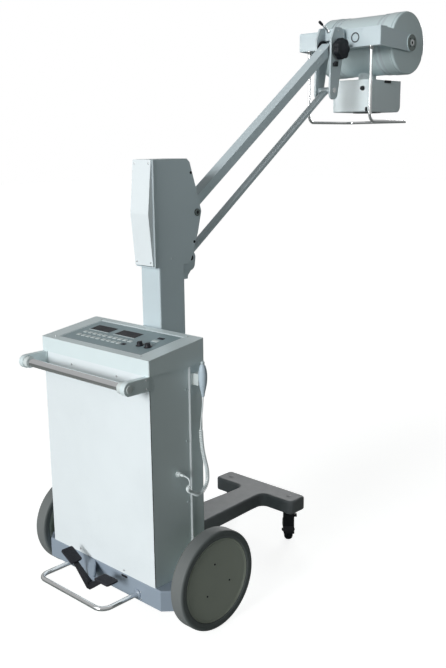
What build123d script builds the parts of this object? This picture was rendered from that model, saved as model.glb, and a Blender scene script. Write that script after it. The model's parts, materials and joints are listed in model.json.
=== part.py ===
from build123d import *
import os
from math import cos, radians, sin, tan

# A mobile X-ray unit: a wheeled cabinet with a fixed mast, a lifting
# parallelogram arm and a tube head that rolls in a yoke and tilts in a fork.
# Millimetres. X runs to the operator's right, Y forward, Z up.
# The origin lies on the floor, under the middle of the machine's outline.

os.makedirs("parts", exist_ok=True)

# General clearances
running_fit = 0.05      # radial play of a shaft in its bore
side_play = 0.5         # side play of a moving boss between its cheeks
seat_gap = 0.3          # gap under a piece that rests on its seat

# Rear wheels
wheel_d = 320.0
wheel_w = 50.0
wheel_gap = 6.5         # from the chassis pan's side to the tyre
hub_d = 270.0           # flat cover disc, as the tyre leaves it
hub_lip = 5.0           # raised rim round the cover disc
axle_from_rear = 160.0
axle_d = 25.0

# Cabinet
cabinet_w = 510.0
cabinet_depth = 219.0
cabinet_top = 826.0
cabinet_wall = 2.0
cabinet_split = 158.0   # depth of the rear shell, where the front cover begins
strip_w = 8.0
strip_proud = 1.0
rear_panel_t = 1.5
console_overhang = 4.0
console_rear_h = 47.5
console_front_h = 78.0
console_wall = 2.5
panel_inset_side = 60.0
panel_inset_end = 24.0
panel_sink = 1.5
panel_t = 3.0

# Chassis pan under the cabinet
axle_over_pan = 4.0     # height of the axles over the pan's top
pan_h = 67.0
pan_shoulder = 57.0     # how far the pan stands out past the cabinet
pan_chamfer = 34.0
pan_wall = 3.0
axle_bracket_w = 40.0
axle_bracket_inset = 6.0

# Push bar and the stand bar under it
push_bar_reach = 77.0
push_bar_d = 26.0
bracket_h = 42.0
bracket_t = 20.0
bracket_overhang = 3.0
collar_len = 18.0
collar_lip = 5.0
rear_loop_reach = 141.0
rear_loop_half_w = 162.0
rear_loop_mid_x = 8.0
rear_loop_rise = 20.0   # its height over the pan's lower edge
rear_loop_d = 15.0
rear_loop_r = 34.0

# Foot brake
brake_x = 8.0
brake_reach = 52.0
brake_skew = 74.0       # how far left of the rocker its bracket is rooted
brake_arm_t = 9.0
brake_arm_w = 16.0
pad_len = 62.0
pad_depth = 45.0
pad_t = 7.0

# Front leg, a casting shaped like a T
leg_over_pan = 26.0
leg_h = 52.0
stem_half_w = 52.0
stem_root_half_w = 66.0
foot_half_w = 78.0
foot_margin = 14.0      # foot in front of the mast
cross_half_len = 192.0
cross_from_rear = 735.0
cross_w = 87.0
leg_fillet = 26.0
leg_round = 8.0
leg_wall = 9.0

# Swivel casters
caster_x = 146.0
caster_turn = 223.0     # how far the parked casters are turned from straight
caster_wheel_d = 75.0
caster_wheel_w = 32.0
caster_trail = 20.0
caster_stem_d = 14.0
caster_stem_h = 26.0
caster_axle_d = 8.0
caster_cheek_t = 3.5
caster_gap = 4.0        # between the wheel and its hood
caster_crown_drop = 12.0

# Mast
mast_w = 88.0
mast_depth = 112.0
mast_gap = 26.0         # from the cabinet's front to the mast
mast_wall = 4.0
head_over_pivot = 173.5
head_under_link = 15.0
head_sheet = 3.0
head_back = 17.0        # how far the head stands out behind the mast
cover_bulge = 22.0
cover_sheet = 2.0
cover_inset = 2.0

# Parallelogram arm
arm_len = 950.0
arm_angle = 36.1        # parked slope of the arm
upper_pivot_ahead = 62.0    # of the mast's front face
upper_pivot_z = 1260.5
link_back = 17.0        # the lower pivots lie this far back
link_drop = 149.5       # and this far below the upper ones
pin_d = 20.0
link_pin_d = 14.0
arm_w = 44.0
arm_h = 31.0
arm_rise = 12.0         # centreline of the beam above its pivots
arm_wall = 3.0
link_w = 29.0
link_h = 11.0
boss_d = 36.0
link_boss_d = 24.0
ear_gap = 40.0
ear_t = 8.0
ear_r = 22.0
ear_drop = 20.0         # the ears hang this far under the lower pivot
open_end = 0.15         # extra play of the link's upper pin

# Yoke
plate_gap = 60.0
plate_t = 8.0
plate_foot_r = 24.0
plate_foot_drop = 10.0  # centre of the round foot, under the lower pivot
plate_back = 36.0       # behind the upper pivot
plate_back_over = 36.0  # the straight back ends this far over the upper pivot
plate_waist_drop = 20.0     # the plate narrows from here down
plate_top_back = 14.0   # the flat top runs from here, behind the pivot
plate_top_ahead = 28.0  # to here, ahead of it
plate_nose = 44.0       # ahead of the upper pivot
plate_nose_drop = 23.0  # under the top
plate_waist = 38.0      # ahead of the upper pivot
yoke_over_pivot = 79.0
roll_over_pivot = 50.0
roll_pin_d = 22.0
roll_nut_d = 30.0
roll_nut_t = 7.0
block_depth = 42.0
block_under_roll = 14.0
disc_r = 35.0           # friction discs between the arm and the plates
knob_d = 80.0
knob_t = 24.0
knob_neck = 8.0
knob_lobes = 7
lever_len = 60.0
lever_d = 6.0
lever_hub_d = 14.0

# Fork
web_ahead = 62.4        # the fork's web, in front of the upper pivot
web_gap = 4.0           # from the clamp block to the web
web_half_len = 190.0
web_depth = 41.0
web_over_roll = 28.0
web_under_roll = 41.0
web_wall = 4.0
fork_reach = 213.0      # from the web's rear face to the tube's axis
fork_arm_t = 8.0
fork_boss_d = 64.0
pivot_ring_t = 3.0
index_ring_x = 77.0
index_ring_d = 38.0
index_ring_h = 2.5
handle_d = 11.0
handle_half_w = 144.5
handle_inset = 7.0       # in front of the web's rear face
handle_reach = 66.0     # in front of the tube's axis
handle_drop = 38.0      # under the collimator
handle_r = 28.0

# Tube head
tube_d = 235.0
tube_half_len = 176.0
tube_over_pivot = 30.0
tube_wall = 8.0
cap_len = 52.0
cap_lip = 3.0           # the caps stand this far proud of the barrel
cap_wall = 9.0
cap_round = 5.0
cap_groove_w = 4.0
cap_groove_depth = 2.0
trunnion_d = 24.0
neck_d = 72.0
collimator_half_w = 85.0
collimator_back = 127.0     # behind the tube's axis
collimator_ahead = 101.0
neck_len = 16.5         # from the barrel down to the collimator
collimator_h = 123.0
collimator_round = 6.0
collimator_nose_r = 25.0

# Hand switch and its curly cord, on the cabinet's right side
switch_r = 14.0
switch_h = 112.0
switch_under_top = 96.0     # its lower end, under the cabinet's top
switch_from_rear = 188.0
holder_h = 36.0
holder_base_t = 4.0
cord_d = 4.0
curl_d = 12.5
gland_from_rear = 105.0
gland_z = 498.0
gland_h = 15.0
nozzle_len = 12.0

# Worked-out places
wheel_r = wheel_d / 2
axle_z = wheel_r
cabinet_bottom = axle_z - axle_over_pan
pan_bottom = cabinet_bottom - pan_h
pan_half_w = cabinet_w / 2 + pan_shoulder
axle_bracket_out = pan_half_w - axle_bracket_inset
axle_bracket_in = axle_bracket_out - axle_bracket_w
wheel_mid_x = pan_half_w + wheel_gap + wheel_w / 2
leg_top = cabinet_bottom + leg_over_pan
leg_bottom = leg_top - leg_h
rear_loop_z = pan_bottom + rear_loop_rise
push_bar_z = cabinet_top - bracket_h / 2 - 0.5
mast_from_rear = cabinet_depth + mast_gap
upper_pivot_from_rear = mast_from_rear + mast_depth + upper_pivot_ahead
reach_y, reach_z = arm_len * cos(radians(arm_angle)), arm_len * sin(radians(arm_angle))
tube_from_rear = upper_pivot_from_rear + reach_y + web_ahead + fork_reach
outline_front = tube_from_rear + tube_d / 2
outline_rear = rear_loop_reach + rear_loop_d / 2
cab_y = -(outline_front - outline_rear) / 2   # rear face of the cabinet
cab_front_y = cab_y + cabinet_depth
axle_y = cab_y + axle_from_rear
mast_y0 = cab_y + mast_from_rear
mast_y1 = mast_y0 + mast_depth
um_y, um_z = cab_y + upper_pivot_from_rear, upper_pivot_z
lm_y, lm_z = um_y - link_back, um_z - link_drop
uy_y, uy_z = um_y + reach_y, um_z + reach_z
ly_y, ly_z = lm_y + reach_y, lm_z + reach_z
head_top = um_z + head_over_pivot
head_bottom = lm_z - head_under_link
head_rear_y = mast_y0 - head_back
yoke_top = uy_z + yoke_over_pivot
roll_z = uy_z + roll_over_pivot
web_y = uy_y + web_ahead
web_bottom = roll_z - web_under_roll
web_top = roll_z + web_over_roll
tube_y = web_y + fork_reach
tube_z = uy_z + tube_over_pivot
collimator_top = tube_z - tube_d / 2 - neck_len
collimator_bottom = collimator_top - collimator_h

# Root: chassis pan

pan_depth = cabinet_depth + 2.0
axle_notch = 8.0
with BuildPart() as chassis_pan:
    with BuildSketch(Plane.XY.offset(pan_bottom)):
        with Locations((0, cab_y + pan_depth / 2)):
            Rectangle(2 * pan_half_w, pan_depth)
        chamfer(vertices().group_by(Axis.Y)[0], pan_chamfer)
    extrude(amount=cabinet_bottom - pan_bottom)
    fillet(edges().group_by(Axis.Z)[-1], pan_wall + 2)
    offset(amount=-pan_wall, openings=faces().sort_by(Axis.Z)[0])
    with BuildSketch(Plane.YZ.offset(-pan_half_w - 1)):
        with Locations((axle_y, axle_z)):
            Circle(axle_d / 2 + axle_notch)
    extrude(amount=pan_half_w + 1 - axle_bracket_out, mode=Mode.SUBTRACT)
    with BuildSketch(Plane.YZ.offset(axle_bracket_out)):
        with Locations((axle_y, axle_z)):
            Circle(axle_d / 2 + axle_notch)
    extrude(amount=pan_half_w + 1 - axle_bracket_out, mode=Mode.SUBTRACT)
chassis_pan.part.label = "chassis_pan"
export_step(chassis_pan.part, "parts/chassis_pan.step")

# Root: axle brackets and stub axles, one each side on the pan's shoulders

axle_shoulder = axle_bracket_out + 4.0
axle_tip = wheel_mid_x + wheel_w / 2 - 14.0
for side, sign in (("left", -1), ("right", 1)):
    with BuildPart() as axle_stub:
        with BuildSketch(Plane.YZ.offset(sign * axle_bracket_in)):
            with BuildLine():
                Line((axle_y - 42, cabinet_bottom), (axle_y + 42, cabinet_bottom))
                Line((axle_y + 42, cabinet_bottom), (axle_y + 30, axle_z + 12))
                ThreePointArc((axle_y + 30, axle_z + 12), (axle_y, axle_z + 32), (axle_y - 30, axle_z + 12))
                Line((axle_y - 30, axle_z + 12), (axle_y - 42, cabinet_bottom))
            make_face()
        extrude(amount=sign * (axle_bracket_out - axle_bracket_in))
        with BuildSketch(Plane.YZ.offset(sign * axle_bracket_out)):
            with Locations((axle_y, axle_z)):
                Circle(axle_d / 2 + 6)
        extrude(amount=sign * (axle_shoulder - axle_bracket_out))
        with BuildSketch(Plane.YZ.offset(sign * axle_shoulder)):
            with Locations((axle_y, axle_z)):
                Circle(axle_d / 2)
        extrude(amount=sign * (axle_tip - axle_shoulder))
    axle_stub.part.label = f"axle_{side}"
    export_step(axle_stub.part, f"parts/axle_{side}.step")

# Rear wheels: a ribbed hub under a flat cover disc, and a rubber tyre

hub_face_x = wheel_mid_x + wheel_w / 2 - 4.0
hub_inner_x = wheel_mid_x - wheel_w / 2 + 3.0
rim_r = hub_d / 2
hub_bore_r = axle_d / 2 + running_fit
hub_bottom_x = axle_tip + 1.0
hub_barrel_r = axle_d / 2 + 13.5
lip_depth = 1.5
disc_t = 7.0
rim_t = 8.0
for side, sign in (("left", -1), ("right", 1)):
    wheel_axis = Axis((0, axle_y, axle_z), (1, 0, 0))
    with BuildPart() as hub:
        with BuildSketch(Plane.XY.offset(axle_z)):
            with BuildLine():
                Polyline(
                    (sign * (hub_face_x - lip_depth), axle_y),
                    (sign * (hub_face_x - lip_depth), axle_y + rim_r - hub_lip),
                    (sign * hub_face_x, axle_y + rim_r - hub_lip + 1),
                    (sign * hub_face_x, axle_y + rim_r - 1.5),
                    (sign * (hub_face_x - 1.5), axle_y + rim_r),
                    (sign * hub_inner_x, axle_y + rim_r),
                    (sign * hub_inner_x, axle_y + rim_r - rim_t),
                    (sign * (hub_face_x - disc_t), axle_y + rim_r - rim_t - 4),
                    (sign * (hub_face_x - disc_t), axle_y + hub_barrel_r + 8),
                    (sign * (hub_inner_x - 3), axle_y + hub_barrel_r),
                    (sign * (hub_inner_x - 3), axle_y + hub_bore_r),
                    (sign * hub_bottom_x, axle_y + hub_bore_r),
                    (sign * hub_bottom_x, axle_y),
                    close=True,
                )
            make_face()
        revolve(axis=wheel_axis)
    hub.part.label = f"wheel_{side}_hub"
    export_step(hub.part, f"parts/wheel_{side}_hub.step")

    with BuildPart() as tyre:
        with BuildSketch(Plane.XY.offset(axle_z)):
            with Locations((sign * wheel_mid_x, axle_y + (rim_r + wheel_r) / 2)):
                Rectangle(wheel_w, wheel_r - rim_r)
            fillet(vertices().group_by(Axis.Y)[-1], 7)
            fillet(vertices().group_by(Axis.Y)[0], 2)
        revolve(axis=wheel_axis)
    tyre.part.label = f"wheel_{side}_tyre"
    export_step(tyre.part, f"parts/wheel_{side}_tyre.step")

# Root: cabinet, a sheet shell with a screwed rear panel and a front cover

cab_h = cabinet_top - cabinet_bottom
with BuildPart() as cabinet_shell:
    with BuildSketch(Plane.XY.offset(cabinet_bottom)):
        with Locations((0, cab_y + rear_panel_t + (cabinet_split - rear_panel_t) / 2)):
            Rectangle(cabinet_w, cabinet_split - rear_panel_t)
            Rectangle(cabinet_w - 2 * cabinet_wall, cabinet_split - rear_panel_t - 2 * cabinet_wall,
                      mode=Mode.SUBTRACT)
    extrude(amount=cab_h)
cabinet_shell.part.label = "cabinet_shell"
export_step(cabinet_shell.part, "parts/cabinet_shell.step")

with BuildPart() as rear_panel:
    with BuildSketch(Plane.XZ.offset(-cab_y)):
        with Locations((0, (cabinet_bottom + cabinet_top) / 2)):
            RectangleRounded(cabinet_w - 1, cab_h - 1, 3)
    extrude(amount=-rear_panel_t)
rear_panel.part.label = "rear_panel"
export_step(rear_panel.part, "parts/rear_panel.step")

cover_y0 = cab_y + cabinet_split + strip_w
with BuildPart() as front_cover:
    with BuildSketch(Plane.XY.offset(cabinet_bottom)):
        with Locations((0, (cover_y0 + cab_front_y) / 2)):
            Rectangle(cabinet_w, cab_front_y - cover_y0)
        fillet(vertices().group_by(Axis.Y)[-1], 6)
        with Locations((0, (cover_y0 + cab_front_y) / 2 - cabinet_wall)):
            Rectangle(cabinet_w - 2 * cabinet_wall, cab_front_y - cover_y0, mode=Mode.SUBTRACT)
    extrude(amount=cab_h)
front_cover.part.label = "front_cover"
export_step(front_cover.part, "parts/front_cover.step")

with BuildPart() as side_strips:
    with BuildSketch(Plane.XY.offset(cabinet_bottom)):
        for sign in (-1, 1):
            with Locations((sign * (cabinet_w / 2 + strip_proud - 2), cab_y + cabinet_split + strip_w / 2)):
                Rectangle(4, strip_w)
    extrude(amount=cab_h)
side_strips.part.label = "side_strips"
export_step(side_strips.part, "parts/side_strips.step")

# Root: console box, whose top rises to the front, and its inset panel

console_half_w = cabinet_w / 2 + console_overhang
console_y0 = cab_y - console_overhang
console_y1 = cab_front_y + console_overhang
console_rear_top = cabinet_top + console_rear_h
console_front_top = cabinet_top + console_front_h
console_slope = (console_front_h - console_rear_h) / (console_y1 - console_y0)


def console_top_at(y):
    return console_rear_top + (y - console_y0) * console_slope


with BuildPart() as console_box:
    with BuildSketch(Plane.YZ.offset(-console_half_w)):
        with BuildLine():
            Polyline(
                (console_y0, cabinet_top),
                (console_y1, cabinet_top),
                (console_y1, console_front_top),
                (console_y0, console_rear_top),
                close=True,
            )
        make_face()
    extrude(amount=2 * console_half_w)
    fillet(edges().filter_by(Axis.Z), 4)
    offset(amount=-console_wall, openings=faces().sort_by(Axis.Z)[0])
    with BuildSketch(Plane.XY.offset(console_front_top + 1)):
        with Locations((0, (console_y0 + console_y1) / 2)):
            Rectangle(2 * (console_half_w - panel_inset_side), console_y1 - console_y0 - 2 * panel_inset_end)
    extrude(amount=-(console_front_top - cabinet_top - 2), mode=Mode.SUBTRACT)
console_box.part.label = "console_box"
export_step(console_box.part, "parts/console_box.step")

panel_half_w = console_half_w - panel_inset_side - seat_gap / 2
panel_y0 = console_y0 + panel_inset_end + seat_gap / 2
panel_y1 = console_y1 - panel_inset_end - seat_gap / 2
with BuildPart() as console_panel:
    with BuildSketch(Plane.YZ.offset(-panel_half_w)):
        with BuildLine():
            Polyline(
                (panel_y0, console_top_at(panel_y0) - panel_sink - panel_t),
                (panel_y1, console_top_at(panel_y1) - panel_sink - panel_t),
                (panel_y1, console_top_at(panel_y1) - panel_sink),
                (panel_y0, console_top_at(panel_y0) - panel_sink),
                close=True,
            )
        make_face()
    extrude(amount=2 * panel_half_w)
console_panel.part.label = "console_panel"
export_step(console_panel.part, "parts/console_panel.step")

# Root: transformer block closed inside the cabinet

core_w, core_depth, core_h = 240.0, 120.0, 150.0
core_from_rear = 90.0
with BuildPart() as transformer:
    with BuildSketch(Plane.XY.offset(cabinet_bottom)):
        with Locations((0, cab_y + core_from_rear)):
            Rectangle(core_w, core_depth)
    extrude(amount=core_h)
transformer.part.label = "transformer"
export_step(transformer.part, "parts/transformer.step")

# Root: push bar in two round-nosed brackets with pale collars

bar_y = cab_y - push_bar_reach
bracket_in = cabinet_w / 2 + bracket_overhang - bracket_t
with BuildPart() as bar_brackets:
    for sign in (-1, 1):
        with BuildSketch(Plane.YZ.offset(sign * bracket_in)):
            with Locations((bar_y / 2 + cab_y / 2, push_bar_z)):
                Rectangle(push_bar_reach, bracket_h)
            with Locations((bar_y, push_bar_z)):
                Circle(bracket_h / 2)
        extrude(amount=sign * bracket_t)
    fillet(edges().filter_by(GeomType.CIRCLE), 2)
bar_brackets.part.label = "bar_brackets"
export_step(bar_brackets.part, "parts/bar_brackets.step")

with BuildPart() as bar_collars:
    for sign in (-1, 1):
        with BuildSketch(Plane.YZ.offset(sign * bracket_in)):
            with Locations((bar_y, push_bar_z)):
                Circle(push_bar_d / 2 + collar_lip)
        extrude(amount=-sign * collar_len)
    fillet(edges().filter_by(GeomType.CIRCLE), 1.5)
bar_collars.part.label = "bar_collars"
export_step(bar_collars.part, "parts/bar_collars.step")

with BuildPart() as push_bar:
    bar_half = bracket_in - collar_len
    with BuildSketch(Plane.YZ.offset(-bar_half)):
        with Locations((bar_y, push_bar_z)):
            Circle(push_bar_d / 2)
    extrude(amount=2 * bar_half)
push_bar.part.label = "push_bar"
export_step(push_bar.part, "parts/push_bar.step")

# Root: stand bar, a chrome loop low behind the pan

loop_x0, loop_x1 = rear_loop_mid_x - rear_loop_half_w, rear_loop_mid_x + rear_loop_half_w
with BuildPart() as rear_loop:
    with BuildLine() as loop_path:
        FilletPolyline(
            (loop_x0, cab_y, rear_loop_z),
            (loop_x0, cab_y - rear_loop_reach, rear_loop_z),
            (loop_x1, cab_y - rear_loop_reach, rear_loop_z),
            (loop_x1, cab_y, rear_loop_z),
            radius=rear_loop_r,
        )
    with BuildSketch(Plane.XZ.offset(-cab_y)):
        with Locations((loop_x0, rear_loop_z)):
            Circle(rear_loop_d / 2)
    sweep(path=loop_path.line)
rear_loop.part.label = "rear_loop"
export_step(rear_loop.part, "parts/rear_loop.step")

# Root: foot brake, a wedge bracket, a rocker bent like a V and two rubber pads

with BuildPart() as brake_bracket:
    with BuildSketch(Plane.XZ.offset(-cab_y)):
        with Locations((brake_x - brake_skew, pan_bottom + 44)):
            Rectangle(70, 42)
    with BuildSketch(Plane.XZ.offset(-cab_y + brake_reach)):
        with Locations((brake_x, pan_bottom + 33)):
            Rectangle(30, 26)
    loft()
    fillet(edges().filter_by(lambda e: e.bounding_box().size.Y > brake_reach - 2), 4)
brake_bracket.part.label = "brake_bracket"
export_step(brake_bracket.part, "parts/brake_bracket.step")

brake_front_y = cab_y - brake_reach - seat_gap
pedals = (
    # x from the rocker's pivot, height of the pad's top over the pan's lower edge, tilt down to the right
    (-87.0, 93.0, 28.0),
    (85.0, 66.0, 0.0),
)
vertex = (brake_x + 2, pan_bottom + 17.0)


def under_pad(x, z, tilt, along, drop):
    """Point beside a pad: along its length from its middle, and below its top."""
    t = radians(tilt)
    return (brake_x + x + along * cos(t) - drop * sin(t),
            pan_bottom + z - along * sin(t) - drop * cos(t))


left, right = pedals
left_in, left_out = under_pad(*left, 16, pad_t), under_pad(*left, 4, pad_t)
right_in, right_out = under_pad(*right, -20, pad_t), under_pad(*right, 6, pad_t)
with BuildPart() as brake_rocker:
    with BuildSketch(Plane.XZ.offset(-brake_front_y)):
        with BuildLine():
            Polyline(
                left_out,
                (vertex[0] - 8, vertex[1] - 12),
                (vertex[0] + 8, vertex[1] - 12),
                (right_in[0] + 6, right_in[1] - brake_arm_t),
                (right_out[0], right_out[1] - brake_arm_t),
                right_out,
                right_in,
                (vertex[0] + 2, vertex[1] + 10),
                left_in,
                close=True,
            )
        make_face()
    extrude(amount=brake_arm_w)
brake_rocker.part.label = "brake_rocker"
export_step(brake_rocker.part, "parts/brake_rocker.step")

with BuildPart() as brake_pads:
    for px, pz, tilt in pedals:
        t = radians(tilt)
        with BuildSketch(Plane(origin=(brake_x + px, brake_front_y - brake_arm_w / 2, pan_bottom + pz),
                               x_dir=(cos(t), 0, -sin(t)), z_dir=(sin(t), 0, cos(t)))):
            RectangleRounded(pad_len, pad_depth, 6)
        extrude(amount=-pad_t)
brake_pads.part.label = "brake_pads"
export_step(brake_pads.part, "parts/brake_pads.step")

# Root: front leg, one casting with a foot under the mast

cross_y0 = cab_y + cross_from_rear
cross_y1 = cross_y0 + cross_w
foot_y0 = cab_y + pan_depth
foot_y1 = mast_y1 + foot_margin
foot_depth = foot_y1 - foot_y0
with BuildPart() as front_leg:
    with BuildSketch(Plane.XY.offset(leg_bottom)) as leg_outline:
        with BuildLine():
            Polyline(
                (-foot_half_w, foot_y0),
                (foot_half_w, foot_y0),
                (foot_half_w, foot_y1),
                (stem_root_half_w, foot_y1 + 30),
                (stem_half_w, cross_y0 - 60),
                (stem_half_w, cross_y0),
                (cross_half_len, cross_y0),
                (cross_half_len, cross_y1),
                (-cross_half_len, cross_y1),
                (-cross_half_len, cross_y0),
                (-stem_half_w, cross_y0),
                (-stem_half_w, cross_y0 - 60),
                (-stem_root_half_w, foot_y1 + 30),
                (-foot_half_w, foot_y1),
                close=True,
            )
        make_face()
        inner = vertices().filter_by(lambda v: abs(abs(v.X) - stem_half_w) < 0.1
                                     and abs(v.Y - cross_y0) < 0.1)
        fillet(inner, leg_fillet)
        ends = vertices().filter_by(lambda v: abs(abs(v.X) - cross_half_len) < 0.1)
        fillet(ends, 16)
    extrude(amount=leg_h)
    with BuildSketch(Plane.XY.offset(pan_bottom)):
        with Locations((0, (foot_y0 + foot_y1) / 2)):
            Rectangle(2 * foot_half_w, foot_depth)
    extrude(amount=leg_bottom - pan_bottom)
    fillet(edges().group_by(Axis.Z)[-1], leg_round)
    under_ends = edges().filter_by(lambda e: abs(e.center().Z - leg_bottom) < 0.1
                                   and e.bounding_box().max.Y > cross_y0 - 1)
    fillet(under_ends, leg_round - 1)
    with BuildSketch(Plane.XY.offset(leg_bottom)):
        offset(leg_outline.sketch, amount=-leg_wall)
        with Locations((0, (foot_y0 + foot_y1) / 2)):
            Rectangle(2 * foot_half_w, foot_depth + 2 * leg_wall, mode=Mode.SUBTRACT)
        with Locations((-caster_x, (cross_y0 + cross_y1) / 2), (caster_x, (cross_y0 + cross_y1) / 2)):
            Circle(caster_stem_d, mode=Mode.SUBTRACT)
    extrude(amount=leg_h - leg_wall - 2, mode=Mode.SUBTRACT)
    with BuildSketch(Plane.XY.offset(pan_bottom)):
        with Locations((0, (foot_y0 + foot_y1) / 2)):
            Rectangle(2 * (foot_half_w - leg_wall), foot_depth - 2 * leg_wall)
    extrude(amount=leg_top - pan_bottom - leg_wall - 6, mode=Mode.SUBTRACT)
    with Locations((-caster_x, (cross_y0 + cross_y1) / 2, leg_bottom),
                   (caster_x, (cross_y0 + cross_y1) / 2, leg_bottom)):
        Hole(caster_stem_d / 2 + running_fit, depth=caster_stem_h)
front_leg.part.label = "front_leg"
export_step(front_leg.part, "parts/front_leg.step")

# Casters: a fork that swivels in the leg, and its wheel

caster_y = (cross_y0 + cross_y1) / 2
caster_axle_z = caster_wheel_d / 2
cheek_in = caster_wheel_w / 2 + side_play
cheek_out = cheek_in + caster_cheek_t
crown_z = leg_bottom - caster_crown_drop
hood_r = caster_wheel_d / 2 + caster_gap + caster_cheek_t
for side, sign in (("left", -1), ("right", 1)):
    turned = Plane(origin=(sign * caster_x, caster_y, 0),
                   x_dir=(cos(radians(caster_turn)), sin(radians(caster_turn)), 0), z_dir=(0, 0, 1))
    cheek_plane = Plane(origin=turned.origin, x_dir=turned.y_dir, z_dir=turned.x_dir)
    with BuildPart() as caster_fork:
        with BuildSketch(cheek_plane.offset(-cheek_out)):
            with Locations((-caster_trail, caster_axle_z)):
                Circle(hood_r)
                with Locations((0, -hood_r / 2)):
                    Rectangle(2 * hood_r, hood_r + 4, mode=Mode.SUBTRACT)
                Circle(caster_axle_d / 2 + 5)
                with Locations((0, caster_axle_d)):
                    Rectangle(caster_axle_d + 10, 2 * caster_axle_d)
            with Locations((-4, (caster_axle_z + hood_r + crown_z - 24) / 2)):
                Rectangle(38, crown_z - caster_axle_z - hood_r + 24)
        extrude(amount=2 * cheek_out)
        with BuildSketch(cheek_plane.offset(-cheek_in)):
            with Locations((-caster_trail, caster_axle_z)):
                Circle(caster_wheel_d / 2 + caster_gap)
        extrude(amount=2 * cheek_in, mode=Mode.SUBTRACT)
        with BuildSketch(cheek_plane.offset(-cheek_out)):
            with Locations((-caster_trail, caster_axle_z)):
                Circle(caster_axle_d / 2 + running_fit)
        extrude(amount=2 * cheek_out, mode=Mode.SUBTRACT)
        with BuildSketch(turned.offset(crown_z)):
            Circle(cheek_out - 1)
        extrude(amount=caster_crown_drop - 1)
        with BuildSketch(turned.offset(leg_bottom - 1)):
            Circle(caster_stem_d / 2)
        extrude(amount=caster_stem_h - 1)
        with BuildSketch(turned.offset(crown_z - 20)):
            with Locations((-cheek_out - 5, -6)):
                RectangleRounded(12, 16, 3)
        extrude(amount=9)
    caster_fork.part.label = f"caster_{side}_fork"
    export_step(caster_fork.part, f"parts/caster_{side}_fork.step")

    with BuildPart() as caster_wheel:
        with BuildSketch(cheek_plane.offset(-caster_wheel_w / 2)):
            with Locations((-caster_trail, caster_axle_z)):
                Circle(caster_wheel_d / 2)
        extrude(amount=caster_wheel_w)
        fillet(edges().filter_by(GeomType.CIRCLE), caster_wheel_w / 2 - 3)
        with BuildSketch(cheek_plane.offset(-cheek_out - 2)):
            with Locations((-caster_trail, caster_axle_z)):
                Circle(caster_axle_d / 2)
        extrude(amount=2 * cheek_out + 4)
    caster_wheel.part.label = f"caster_{side}_wheel"
    export_step(caster_wheel.part, f"parts/caster_{side}_wheel.step")

# Root: mast column, a rectangular tube on the leg's foot

mast_mid_y = (mast_y0 + mast_y1) / 2
with BuildPart() as mast_column:
    with BuildSketch(Plane.XY.offset(leg_top)):
        with Locations((0, mast_mid_y)):
            RectangleRounded(mast_w, mast_depth, 5)
            RectangleRounded(mast_w - 2 * mast_wall, mast_depth - 2 * mast_wall, 2, mode=Mode.SUBTRACT)
    extrude(amount=head_bottom - leg_top)
mast_column.part.label = "mast_column"
export_step(mast_column.part, "parts/mast_column.step")

# Root: mast head, two cheeks with a floor, a roof and an open front slot

cheek_outline = (
    (head_rear_y, head_bottom),
    (um_y - 38, head_bottom),
    (um_y - 22, lm_z + 17),
    (um_y + 3, um_z - 65),
    (um_y + 20, um_z + 2.5),
    (um_y - 2.5, um_z + 78),
    (um_y - 30, head_top - 12),
    (um_y - 43, head_top),
    (head_rear_y, head_top),
)
slot_top = um_z + 84.5      # the front is closed above this
with BuildPart() as mast_head:
    with BuildSketch(Plane.YZ.offset(-mast_w / 2)):
        with BuildLine():
            Polyline(*cheek_outline, close=True)
        make_face()
    extrude(amount=mast_w)
    with BuildSketch(Plane.YZ.offset(-mast_w / 2 + head_sheet)):
        with BuildLine():
            Polyline(
                (head_rear_y - 5, head_bottom + head_sheet),
                (mast_y1, head_bottom + head_sheet),
                (mast_y1, head_bottom - 5),
                (um_y + 31, head_bottom - 5),
                (um_y + 31, slot_top),
                (um_y - 4.5 - head_sheet, slot_top),
                (um_y - 30 - head_sheet, head_top - 12 - head_sheet / 2),
                (um_y - 43 - head_sheet, head_top - head_sheet),
                (head_rear_y - 5, head_top - head_sheet),
                close=True,
            )
        make_face()
    extrude(amount=mast_w - 2 * head_sheet, mode=Mode.SUBTRACT)
    with BuildSketch(Plane.YZ.offset(-mast_w / 2)):
        with Locations((um_y, um_z)):
            Circle(pin_d / 2 + running_fit)
    extrude(amount=mast_w, mode=Mode.SUBTRACT)
mast_head.part.label = "mast_head"
export_step(mast_head.part, "parts/mast_head.step")

# Root: bulged rear cover of the mast head

cover_half_w = mast_w / 2 - cover_inset
cover_bottom = head_bottom + 6.5
with BuildPart() as mast_cover:
    with BuildSketch(Plane.YZ.offset(-cover_half_w)):
        with BuildLine():
            Polyline(
                (head_rear_y, cover_bottom),
                (head_rear_y, head_top),
                (head_rear_y - cover_bulge / 4, head_top),
                (head_rear_y - cover_bulge, um_z + 6.5),
                (head_rear_y - cover_bulge / 3, cover_bottom),
                close=True,
            )
        make_face()
    extrude(amount=2 * cover_half_w)
    offset(amount=-cover_sheet, openings=faces().sort_by(Axis.Y)[-1])
mast_cover.part.label = "mast_cover"
export_step(mast_cover.part, "parts/mast_cover.step")

# Root: two lug ears on the mast for the lower link

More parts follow.
